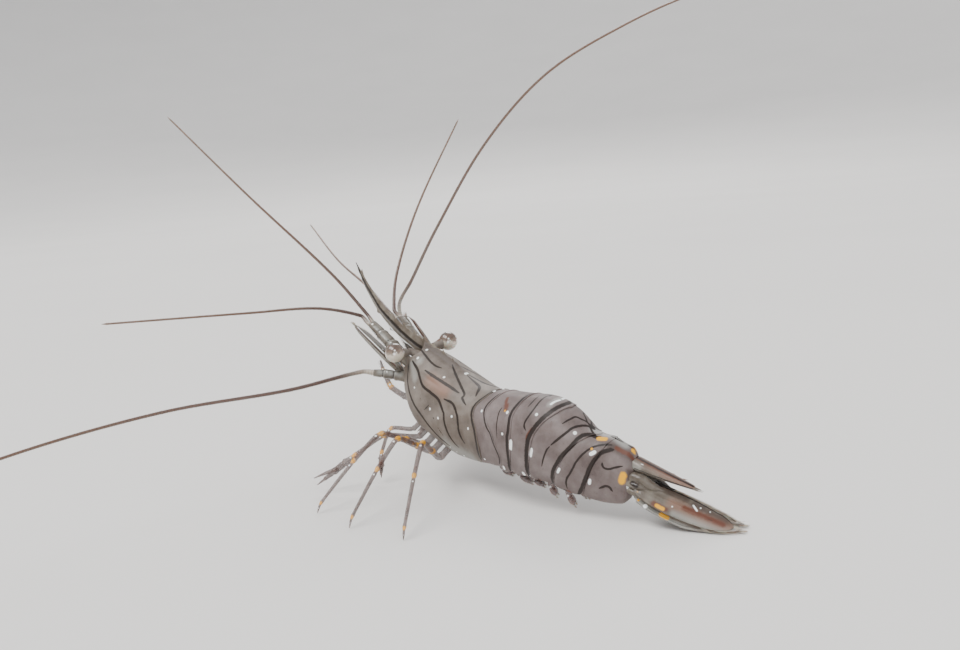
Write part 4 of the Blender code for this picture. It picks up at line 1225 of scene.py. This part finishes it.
def makeFringe(name, frame, plan, start, length, gap=0.10, outerToo=True):
    roots, ways, lengths = [], [], []
    for edge in ((-1, 1) if outerToo else (-1,)):
        run = np.arange(start if edge < 0 else max(start, 0.72), 0.997, gap / plan["length"] * 0.8)
        here = leafAt(frame, plan, run, edge * 0.99)
        after = leafAt(frame, plan, np.minimum(run + 0.01, 1), edge * 0.99)
        way = unit(unit(after - here) * 0.9 + plan["side"] * edge * frame[2] * 0.9 + frame[1] * 0.8)
        low = here[:, 2] + way[:, 2] * length < bodyPlan["ground"] + 0.06
        way[low, 2] = 0
        size = length * (0.45 + 0.55 * np.clip((run - start) / 0.3, 0, 1))
        roots += list(here)
        ways += list(way)
        lengths += list(size)
    run = np.arange(-0.98, 0.99, 0.08)
    roots += list(leafAt(frame, plan, 0.996, run))
    ways += list(np.tile(frame[1], (len(run), 1)) + plan["side"] * run[:, None] * 0.4 * frame[2])
    lengths += [length] * len(run)
    ways = np.array(ways)
    sunk = np.array(roots)[:, 2] + ways[:, 2] * length < bodyPlan["ground"] + 0.06
    ways[sunk, 2] = 0
    return bristles(name, roots, ways, lengths)


# outer is the outer side's share of the width, and cup is how far the edges droop
scalePlan = {"length": 7.96, "width": 2.7, "outer": 0.3, "root": 0.34, "bulge": 0.72, "tipLength": 0.16,
             "tipFullness": 0.80, "thick": 0.10, "ribHeight": 0.10, "ribAt": 0.30, "steps": 110, "cup": 0.10,
             "base": (12.9, 2.4, -0.75), "tip": (20.6, 3.6, 0.85), "roll": 22}


def makeScale(label, side):
    plan = {**scalePlan, "side": side}
    base, tip = (headPlace(f, side * s, h) for f, s, h in (plan["base"], plan["tip"]))
    roll = Matrix.Rotation(math.radians(side * plan["roll"]), 3, Vector(unit(tip - base)))
    upwards = np.array(roll @ Vector(headPlace(0.0, 0.0, 1.0)))
    frame = leafFrame(base - unit(tip - base) * 0.5, tip - base, upwards)
    blade = makeLeaf("blade", frame, plan)
    high = 0.12
    on = onLeaf(frame, plan, high)
    run = np.linspace(0.04, 0.86, 14)
    rod = list(zip(on(run, 0.90, 0), np.interp(run, (0, 0.7, 0.86), (0.20, 0.15, 0.10))))
    rod.append((on(0.92, 1.0, 0)[0], 0.015))
    piece = joined(f"{label}AntennalScale", blade, sweep("rod", pathTable(rod), 90, 14, even))
    brown = on((0.10, 0.90, 30), 0.62)
    # the long white stroke and the pale strokes along the blade are painted highlights
    paint(piece, white=[(on((0.36, 0.95, 24), 0.30), 0.10), (on(0.45, -0.2), 0.11), (on(0.33, -0.3), 0.08)],
          glowing=[(on((0.1, 0.36, 12), 0.30), 0.22), (on((0.10, 0.90, 30), 0.92, -high), 0.16)],
          rust=[(brown, 0.16)], line=[(on((0.15, 0.97, 30), -0.97, 0), 0.08), (brown[4:], 0.07)])
    settle(piece, clearBlade, "clear_shell", f"antennal_scale_{label}")
    fringe = makeFringe(f"{label}ScaleFringe", frame, plan, 0.28, 0.75, outerToo=False)
    settle(fringe, paleHair, "clear_shell")


for label, side in sides:
    makeScale(label, side)
print("antennal scales made")

# tail fan
tailPlan = {
    "rear": 18.9,
    "blades": {  # length, width, root to the side, root height, spread, slope, roll
        "uropod_left_inner": (9.2, 2.4, 1.25, 0.6, -8, 14.2, 43),
        "uropod_left_outer": (9.8, 2.1, 1.15, -0.15, -8, 14.6, 43),
        "uropod_right_inner": (8.8, 2.4, 1.25, 0.25, 3, 13.2, 43),
        "uropod_right_outer": (9.4, 2.1, 1.15, -0.5, 3, 13.6, 43)},
    "leaf": {"outer": 0.6, "root": 0.30, "bulge": 0.80, "tipLength": 0.13, "tipFullness": 0.72,
             "thick": 0.11, "ribHeight": 0.12, "ribAt": 0.25, "steps": 120, "cup": 0.06},
    # the telson's rows are back, half width, half height; thorns are back, out; spines are out, length
    "thorns": ((2.8, 0.60), (4.1, 0.46)), "spines": ((-0.24, 0.6), (-0.11, 0.9), (0.11, 0.9), (0.24, 0.6)),
    "telson": ((-0.6, 0.85, 0.70), (0, 0.95, 0.72), (0.5, 0.96, 0.66), (2, 0.85, 0.50), (3.8, 0.62, 0.34),
               (5.1, 0.36, 0.24), (5.5, 0.28, 0.18)), "telsonRise": 1.9, "telsonSlope": 0.16,
}


def makeUropod(node):
    length, width, out, low, spread, slope, roll = tailPlan["blades"][node]
    side = 1 if "left" in node else -1
    origin, across, back, up = axesOf(tailPlan["rear"])
    tilt, swing = math.radians(slope), math.radians(-side * spread)
    ahead = (-across * math.sin(swing) * math.cos(tilt) + back * math.cos(swing) * math.cos(tilt)
             - up * math.sin(tilt))
    turned = Matrix.Rotation(math.radians(side * roll), 3, Vector(ahead)) @ Vector(up)
    root = origin + across * side * out + back * 0.35 + up * low
    plan = {**tailPlan["leaf"], "length": length, "width": width, "side": -side}
    frame = leafFrame(root, ahead, np.array(turned))
    on = onLeaf(frame, plan, 0.12)
    name = "".join(word.title() for word in node.split("_"))
    stemRoot = origin + across * side * (out - 0.35) - back * 0.6 + up * (low * 0.7)
    joint = [(stemRoot, 0.50), (root + ahead * 0.25, 0.56), (root + ahead * 0.9, 0.36),
             (root + ahead * 1.4, 0.08)]
    parts = [makeLeaf("blade", frame, plan), sweep("joint", pathTable(joint), 40, 28, oval(1.15, 0.72))]
    # the pale strokes across each blade are painted sheen
    marks = {"line": [(on((0.06, 0.97, 40), -0.97, 0), np.linspace(0.20, 0.10, 40)),
                      (on((0.1, 0.8, 30), 0.25)[8:], 0.04)],
             "rust": [(on((0.52, 0.90, 14), 0.18), 0.26)], "peach": [(on((0.40, 0.95, 14), 0.25), 0.50)],
             "shade": [(on((0.60, 0.92, 12), -0.50), 0.42), (on((0.10, 0.50, 12), -0.75), 0.36)],
             "glowing": [(on((0.45, 0.95, 12), 0.75), 0.30)]}
    if "inner" in node:
        # the raised inner lobe of the joint fills the corner under the telson
        lobe = [(origin + across * side * (out - 0.5) - back * 0.5 + up * (low + 0.35), 0.55),
                (root - across * side * 0.30 + back * 0.25 + up * 0.35, 0.62),
                (on(0.16, -0.45, 0.05)[0], 0.50), (on(0.30, -0.55, 0)[0], 0.06)]
        parts.append(sweep("lobe", pathTable(lobe), 60, 28, oval(0.9, 0.9)))
        marks["rust"].append((on((0.24, 0.36, 6), 0.78), 0.26))
        marks["amber"] = [(on((0.27, 0.34, 5), 0.80), 0.17), (on(0.05, 0.75, 0.2), 0.13)]
        # the white streaks on the inner blade are painted highlights
        marks["white"] = [(on((0.585, 0.635, 5), (-0.35, 0.0, 5)), 0.085), (on(0.655, -0.45), 0.08),
                          (on(0.41, 0.42), 0.08), (on(0.75, -0.55), 0.075)]
        marks["line"].append(([root - back * 0.25 + up * 0.22 + across * side * 0.42,
                               root + back * 0.30 + up * 0.02 + across * side * 0.50], 0.22))
    else:
        # the stiff outer edge ends in a tooth before the crossing seam
        rod = list(zip(on((0.05, 0.74, 12), 0.95, 0), np.linspace(0.17, 0.10, 12)))
        rod.append((on(0.80, 1.08, 0)[0], 0.015))
        parts.append(sweep("rod", pathTable(rod), 80, 12, even))
        marks["line"].append((on(0.78, (-0.9, 0.95, 14)), 0.05))
        marks["glowing"].append((on((0.03, 0.62, 30), 0.96, 0), 0.24))
        marks["amber"] = [(on(0.06, 0.85, 0.1), 0.13), (on((0.30, 0.36, 5), 0.85, 0.1), 0.20)]
        marks["white"] = [(on(0.14, 0.92, 0.1), 0.20)]
    piece = joined(name, *parts)
    paint(piece, **marks)
    settle(piece, clearBlade, "clear_shell", node)
    hair = makeFringe(f"{name}Fringe", frame, plan, 0.35 if "inner" in node else 0.45, 0.8)
    settle(hair, paleHair, "clear_shell")


for node in tailPlan["blades"]:
    makeUropod(node)


def rearPlace(x, back, up):
    origin, side, behind, above = axesOf(tailPlan["rear"])
    x, back, up = evened(x, back, up)
    return origin + side * x[..., None] + behind * back[..., None] + above * up[..., None]


def makeTelson():
    rows = np.array(tailPlan["telson"])
    length = rows[-1, 0]

    def middle(back):
        return tailPlan["telsonRise"] - tailPlan["telsonSlope"] * np.asarray(back, float)

    def place(u, v):
        back = rows[0, 0] + (length - rows[0, 0]) * u
        half, high = along(rows, back).T
        turn = 2 * math.pi * v
        end = np.clip((1 - u) / 0.03, 0.05, 1) ** 0.5
        groove = 0.08 * bump(np.cos(turn), 0.45, 0.2) * (np.sin(turn) > 0) * np.clip(u * 4, 0, 1)
        x = half * np.sign(np.cos(turn)) * np.abs(np.cos(turn)) ** 0.8 * end
        z = (high * np.sin(turn) * np.where(np.sin(turn) < 0, 0.7, 1) - groove) * end + middle(back)
        return rearPlace(x, back, z)

    def thorn(root, tip, radius, steps):
        table = pathTable([(rearPlace(*root), radius), (rearPlace(*tip), 0.012)], 20)
        parts.append(sweep("thorn", table, steps, 8, even))

    parts = [wrap("body", 150, 56, place)]
    for back, x in tailPlan["thorns"]:
        high = middle(back) + 0.2
        for side in (-1, 1):
            thorn((side * x, back, high), (side * x * 1.03, back + 0.5, high), 0.06, 10)
    for x, reach in tailPlan["spines"]:
        thorn((x, length - 0.2, middle(length)), (x * 1.25, length - 0.2 + reach, middle(length + reach)),
              0.07, 12)
    piece = joined("telsonPlate", *parts)
    run = np.linspace(0.0, length - 0.2, 40)
    half, high = along(rows, run).T
    ridge = rearPlace(0.12, run, middle(run) + high * 0.97)
    marks = {"line": [(ridge, np.linspace(0.16, 0.10, 40))], "rust": [(ridge, np.linspace(0.34, 0.18, 40))],
             "glowing": [], "white": [], "peach": []}
    for side in (-1, 1):
        # the pale strokes near the base and the white ones above them are painted glints
        for kind, x, back, rise, wide in (
                ("line", half * 0.96, run, middle(run), 0.06), ("peach", 0.5, run, middle(run) + 0.2, 0.25),
                ("glowing", 0.78, np.linspace(0.0, 0.35, 6), middle(0.2) + 0.15, 0.26),
                ("white", 0.62, np.linspace(0.0, 0.9, 8), middle(0.4) + 0.46, 0.05)):
            marks[kind].append((rearPlace(side * x, back, rise), wide))
    paint(piece, **marks)
    settle(piece, clearBlade, "shell", "telson")


makeTelson()
print("tail fan made")

# legs
legPlan = {
    # roots and hip are forward, out, up; feet are x, y; claws are knee, wrist and tip as x, y, height
    "roots": {1: (8.4, 1.1, -4.7), 2: (7.2, 1.2, -4.9), 3: (5.9, 1.3, -5.0), 4: (4.6, 1.35, -5.0),
              5: (3.3, 1.3, -4.95)},
    "hip": (0, 1.25, -1.3),
    "feet": {"leg_3_left": (16, -9), "leg_4_left": (16.4, -2.6), "leg_5_left": (15, 4.2),
             "leg_3_right": (-12.2, -13.4), "leg_4_right": (-14.2, -5.2), "leg_5_right": (-12.6, 4.2)},
    "thick": (0.40, 0.35, 0.31, 0.27, 0.21, 0.155, 0.035),
    "claws": {"leg_1_left": ((3.9, -12.4, 5.6), (5.2, -12.6, 3.0), (6.2, -11.6, 0.6)),
              "leg_1_right": ((-3.6, -14, 5.8), (-4.6, -17, 3.8), (-5, -19.4, 1.4)),
              "leg_2_left": ((5.9, -10.8, 5.5), (9, -12.2, 3.7), (12.5, -14.6, 0.9)),
              "leg_2_right": ((-6.4, -12.4, 6.4), (-8.8, -16, 4.6), (-10.6, -20.4, 1.2))},
    "clawThick": {1: 0.85, 2: 1.0}, "clawShape": (0.36, 0.32, 0.25, 0.23, 0.40, 0.33, 0.16),
    "point": 0.03, "palm": 0.55, "gape": 17,
    # share of the way out from under the hip to the foot, and height
    "knee": (0.40, 6.6), "shin": (0.66, 4.3), "toe": (0.10, 0.95),
}


def legStart(number, side):
    forward, out, up = legPlan["roots"][number]
    ahead, wide, down = legPlan["hip"]
    return [headPlace(forward, side * out, up), headPlace(forward + ahead, side * (out + wide), up + down)]


def limbPiece(name, joints, extras=(), steps=260, sides=20):
    # a swept limb with swollen joints; extras are further swept pieces joined to it
    table = pathTable(crisp(joints), 400)
    places = np.array([place for place, _ in joints], float)
    path = onPath(table, np.linspace(0, 1, 2000))[:, :3]
    shares = [np.linalg.norm(path - place, axis=1).argmin() / 1999 for place in places[1:-1]]

    def shape(u, turn, radius):
        change = np.zeros_like(u)
        for at in shares:
            change = change + 0.20 * bump(u, at - 0.012, 0.012) - 0.14 * bump(u, at + 0.010, 0.008)
        return radius * (1 + change) * np.clip((1.0 - u) / 0.004, 0.1, 1)

    piece = sweep("limb", table, steps, sides, shape)
    return joined(name, piece, *extras), table, shares


def limbMarks(table, shares):
    marks = {"amber": [], "white": [], "rust": []}
    for at in shares[1:]:
        row = onPath(table, at)
        size = row[3]
        marks["amber"].append((row[:3] + [0, 0, size * 0.5], size * 1.45))
        beside = onPath(table, min(at + 0.03, 1.0))
        marks["white"].append((beside[:3] + [size * 0.5, size * 0.6, size * 0.6], size * 0.45))
        band = onPath(table, max(at - 0.05, 0.0))
        marks["rust"].append((band[:3], size * 1.15))
    for row in onPath(table, (0.30, 0.62)):
        marks["rust"].append((row[:3], row[3] * 1.1))
    return marks


def makeWalkingLeg(number, label, side):
    name = f"leg_{number}_{label}"
    root, hip = legStart(number, side)
    foot = groundPlace(*legPlan["feet"][name], 0)
    level = np.array([hip[0], hip[1], bodyPlan["ground"]])
    knee, shin = (level + (foot - level) * share + [0, 0, high]
                  for share, high in (legPlan["knee"], legPlan["shin"]))
    share, high = legPlan["toe"]
    toe = foot + (shin - foot) * [share, share, 0] + [0, 0, high]
    places = (root, hip, hip + (knee - hip) * 0.45, knee, shin, toe, foot + [0, 0, 0.04])
    joints = list(zip(places, legPlan["thick"]))
    piece, table, shares = limbPiece(f"{label}Leg{number}", joints)
    paint(piece, **limbMarks(table, shares))
    settle(piece, limbFlesh, "limb", f"{name}_upper", f"{name}_lower")


def makeClawLeg(number, label, side):
    name = f"leg_{number}_{label}"
    knee, wrist, tip = (groundPlace(*joint) for joint in legPlan["claws"][name])
    palmEnd = wrist + (tip - wrist) * legPlan["palm"]
    thick, point = legPlan["clawThick"][number], legPlan["point"]
    places = legStart(number, side) + [knee, wrist, wrist + (palmEnd - wrist) * 0.45, palmEnd,
                                       palmEnd + (tip - palmEnd) * 0.55, tip]
    radii = [thick * r for r in legPlan["clawShape"]] + [point]
    axis = Vector(unit(np.cross(tip - wrist, [0, 0, 1.0])))
    swing = Matrix.Rotation(math.radians(legPlan["gape"]), 3, axis)
    root = wrist + (palmEnd - wrist) * 0.78
    end = root + np.array(swing @ Vector(tip - root))
    bow = np.array(swing @ axis.cross(Vector(tip - wrist)).normalized()) * 0.04
    middle = root + (end - root) * 0.5 + bow

    def shape(u, turn, radius):
        return radius * np.clip((1.0 - u) / 0.01, 0.1, 1)

    joints = [(root, 0.26 * thick), (middle, 0.17 * thick), (end, point)]
    finger = sweep("finger", pathTable(joints), 60, 16, shape)
    piece, table, shares = limbPiece(f"{label}ClawLeg{number}", list(zip(places, radii)), [finger])
    marks = limbMarks(table, shares[:3])
    marks["white"].append((end, 0.14))
    marks["rust"] += [(tip, 0.3), (wrist + (palmEnd - wrist) * 0.5, 0.3)]
    paint(piece, **marks)
    settle(piece, limbFlesh, "limb", f"{name}_upper", f"{name}_lower")


for label, side in sides:
    for number in (1, 2):
        makeClawLeg(number, label, side)
    for number in (3, 4, 5):
        makeWalkingLeg(number, label, side)
print("legs made")

# mouth limbs
mouthPlan = {
    "hairRows": 60, "hairLength": (0.28, 0.5), "hairLean": (0.5, 1.2), "hairThick": 0.013,
    "maxilliped": ((10.6, 0.9, -4.0, 0.36), (12.2, 1.3, -4.3, 0.34), (14.4, 1.5, -4.5, 0.30),
                   (16.4, 1.3, -3.7, 0.24), (17.6, 1.1, -2.9, 0.08)),
    "lobes": (  # root and tip, each (forward, out, up), and the radius
        ((9.8, 0.75, -3.2), (11.9, 0.55, -3.3), 0.42), ((9.8, 1.35, -3.0), (11.7, 1.25, -3.25), 0.36),
        ((10.4, 0.6, -2.4), (12.2, 0.4, -2.5), 0.46), ((10.4, 1.6, -2.2), (12.2, 1.55, -2.35), 0.42),
        ((10.2, 0.3, -1.4), (12.4, 0.28, -1.5), 0.50)),
}


def makeMouth(label, side):
    joints = headPath(mouthPlan["maxilliped"], side)
    piece, table, shares = limbPiece(f"{label}Maxilliped", joints, steps=160)
    paint(piece, **limbMarks(table, shares))
    settle(piece, limbFlesh, "limb", f"maxilliped_{label}")
    draw = random.Random(11 + side)
    rows = onPath(table, np.linspace(0.35, 0.99, mouthPlan["hairRows"]))
    roots, ways, lengths = [], [], []
    for row in rows:
        for _ in range(2):
            a = draw.uniform(0, 2 * math.pi)
            out = row[4:7] * math.cos(a) + row[7:10] * math.sin(a)
            roots.append(row[:3] + out * row[3] * 0.9)
            ways.append(out + row[10:13] * draw.uniform(*mouthPlan["hairLean"]))
            lengths.append(draw.uniform(*mouthPlan["hairLength"]))
    hair = bristles(f"{label}MaxillipedHair", roots, ways, lengths, mouthPlan["hairThick"])
    settle(hair, paleHair, "limb")
    lobes = []
    for (f, s, h), (tf, ts, th), radius in mouthPlan["lobes"]:
        rows = ((f, s, h, radius * 0.8), ((f + tf) / 2, (s + ts) / 2, (h + th) / 2, radius),
                (tf, ts, th, radius * 0.25))
        lobes.append(sweep("lobe", pathTable(headPath(rows, side), 60), 30, 20, oval(0.55, 1)))
    piece = joined(f"{label}Mouthparts", *lobes)
    paint(piece, line=[(headPlace(11.9, side * 0.6, -2.0), 0.2)])
    settle(piece, limbFlesh, "limb")


for label, side in sides:
    makeMouth(label, side)
print("mouth limbs made")

# swimmerets: a pair of forked paddles under each of the first five tail segments
swimmeretPlan = {
    # rows are station, length, droop in degrees
    "rows": ((2.4, 2.0, 18), (4.9, 2.4, 18), (7.1, 1.8, 20), (11.4, 1.4, 22), (13.5, 1.5, 20)),
    "leaf": {"outer": 0.5, "root": 0.4, "bulge": 0.8, "tipLength": 0.35, "tipFullness": 0.7, "thick": 0.06,
             "ribHeight": 0.05, "ribAt": 0.0, "steps": 36, "cup": 0.05},
}


def makeSwimmerets(number, station, length, droop):
    level = along(bodyPlan["sections"], station)[0, 2] + bodyPlan["groove"] - 0.5
    fall = math.tan(math.radians(droop))
    origin, side, back, up = axesOf(station)
    parts, hairs = [], []
    marks = {"rust": [], "white": []}
    bar = [(origin + side * x + up * (level + 0.05 * math.cos(x * 2)), 0.22)
           for x in (-0.9, -0.4, 0, 0.4, 0.9)]
    parts.append(sweep("bar", pathTable(bar, 60), 24, 16, even))
    for sign in (-1, 1):
        def at(x, share, lift=0.0):
            drop = 0.3 + length * share * fall if share else 0.0
            return origin + side * sign * x + back * length * share + up * (level - drop + lift)
        foot = [(at(0.75, 0, 0.1), 0.34), (at(0.95, 0.15), 0.36), (at(1.05, 0.42), 0.27),
                (at(1.06, 0.5), 0.08)]
        parts.append(sweep("stem", pathTable(foot, 60), 30, 20, oval(1, 0.75)))
        marks["rust"].append((at(0.95, 0.2), 0.25))
        marks["white"].append((at(1.2, 0.3, -0.1), 0.15))
        for x, wide, share in ((1.25, 0.80, 1.0), (0.85, 0.60, 0.86)):
            plan = {**swimmeretPlan["leaf"], "length": length * (share - 0.36), "width": wide, "side": sign}
            frame = leafFrame(at(x * 0.95, 0.36), at(x, 1.0) - at(x * 0.95, 0.36), up)
            parts.append(makeLeaf("paddle", frame, plan))
            hairs.append(makeFringe("hair", frame, plan, 0.35, 0.34))
    piece = joined(f"swimmerets{number}", *parts)
    paint(piece, **marks)
    settle(piece, paddleFlesh, "limb", f"swimmerets_{number}")
    settle(joined(f"swimmeretHair{number}", *hairs), paleHair, "limb")


for number, row in enumerate(swimmeretPlan["rows"], 1):
    makeSwimmerets(number, *row)
print("swimmerets made")
